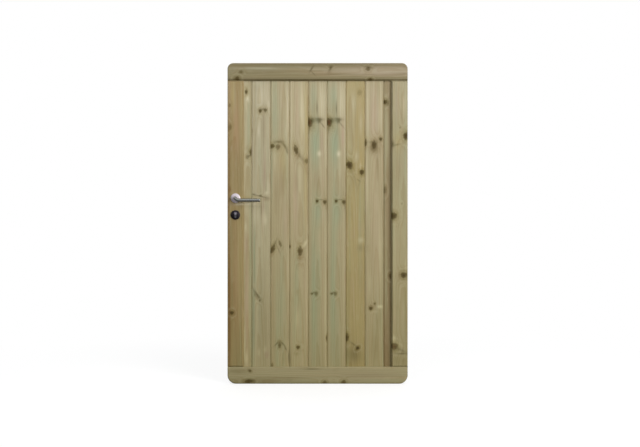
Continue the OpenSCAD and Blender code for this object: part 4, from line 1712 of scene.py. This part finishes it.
            Patch(Tint.BROWN, 834, 1210, 9, 80, 0.5), Patch(Tint.OLIVE, 838, 360, 14, 60, 0.5),
            Patch(Tint.CREAM, 848, 750, 7, 170, 0.7), Patch(Tint.PALE, 846, 427, 16, 9, 0.8),
            Patch(Tint.CREAM, 810, 400, 22, 6, 0.5), Patch(Tint.BROWN, 802, 428, 26, 18, 0.6),
            Patch(Tint.OLIVE, 815, 200, 30, 100, 0.5), Patch(Tint.CREAM, 790, 560, 8, 60, 0.5),
        ),
    ),
    # board_9's darker brown tone is partly its own colour and partly painted shade in the shadow of the
    # hinge stile.
    "board_9": Timber(
        Tint.BROWN, (-10, 50), 19.0, value=0.93,
        knots=(
            Knot(875, 1565, 8.5, strength=0.95, stretch=1.3, tilt=20),
            Knot(875, 1076, 7, strength=0.45, stretch=2.4), Knot(906, 598, 8, stretch=1.5),
        ),
        patches=(
            # The long UMBER stripe at x 903 on this line is a painted shadow cast by the hinge stile.
            Patch(Tint.UMBER, 903, 900, 8, 3000, 0.6), Patch(Tint.CREAM, 870, 1380, 8, 420, 0.4),
            Patch(Tint.GREY, 882, 1400, 14, 260, 0.9), Patch(Tint.GREEN, 878, 1450, 12, 220, 0.12),
            Patch(Tint.UMBER, 893, 1560, 14, 24, 0.6), Patch(Tint.TAN, 880, 700, 10, 300, 0.5),
        ),
    ),
}

STEEL = MetalFinish("satin_steel", (0.30, 0.305, 0.285), 0.26, Brushing.ALONG_X)
ROSE_STEEL = MetalFinish("satin_steel_rose", (0.68, 0.61, 0.655), 0.30, Brushing.ROUND,
                         middle_of("front_lever_rose"), metallic=0.85)
DARK_METAL = MetalFinish("dark_metal", (0.035, 0.030, 0.034), 0.32, Brushing.ROUND,
                         middle_of("front_cylinder_rose"), wear=0.25, wear_colour=(0.12, 0.11, 0.11))
PLATE_STEEL = MetalFinish("satin_steel_plate", (0.55, 0.54, 0.52), 0.36, Brushing.ALONG_Z)
NICKEL = MetalFinish("nickel", (0.66, 0.61, 0.68), 0.26, wear=0.2, wear_colour=(0.42, 0.38, 0.36))
# The cylinder body is the plug's nickel made dark: painted shade that keeps it darker than the lit plug.
SHADED_NICKEL_BODY = MetalFinish("nickel_body_painted_shade", (0.15, 0.145, 0.155), 0.34, Brushing.ALONG_Z)
ZINC = MetalFinish("zinc_plate", (0.46, 0.47, 0.48), 0.42, wear=0.35, wear_colour=(0.28, 0.27, 0.25))


def main() -> None:
    """Build the gate's looks, piece by piece, then the studio."""
    logging.basicConfig(level=logging.INFO, format="%(name)s: %(message)s")
    bpy.context.scene.view_settings.view_transform = "Standard"
    knots, patches = KnotGroup(), PatchGroup()
    Frame(TimberFinish(knots, patches, painted_flank_light=0.0, rail_shadow=0.0), FRAME_TIMBERS).build()
    Boarding(TimberFinish(knots, patches), BOARD_TIMBERS).build()
    LeverHandles(STEEL, ROSE_STEEL, ZINC).build()
    Lock(PLATE_STEEL, NICKEL, ZINC).build()
    KeyCylinder(DARK_METAL, SHADED_NICKEL_BODY, NICKEL).build()
    Studio().build()


if __name__ == "__main__":
    main()
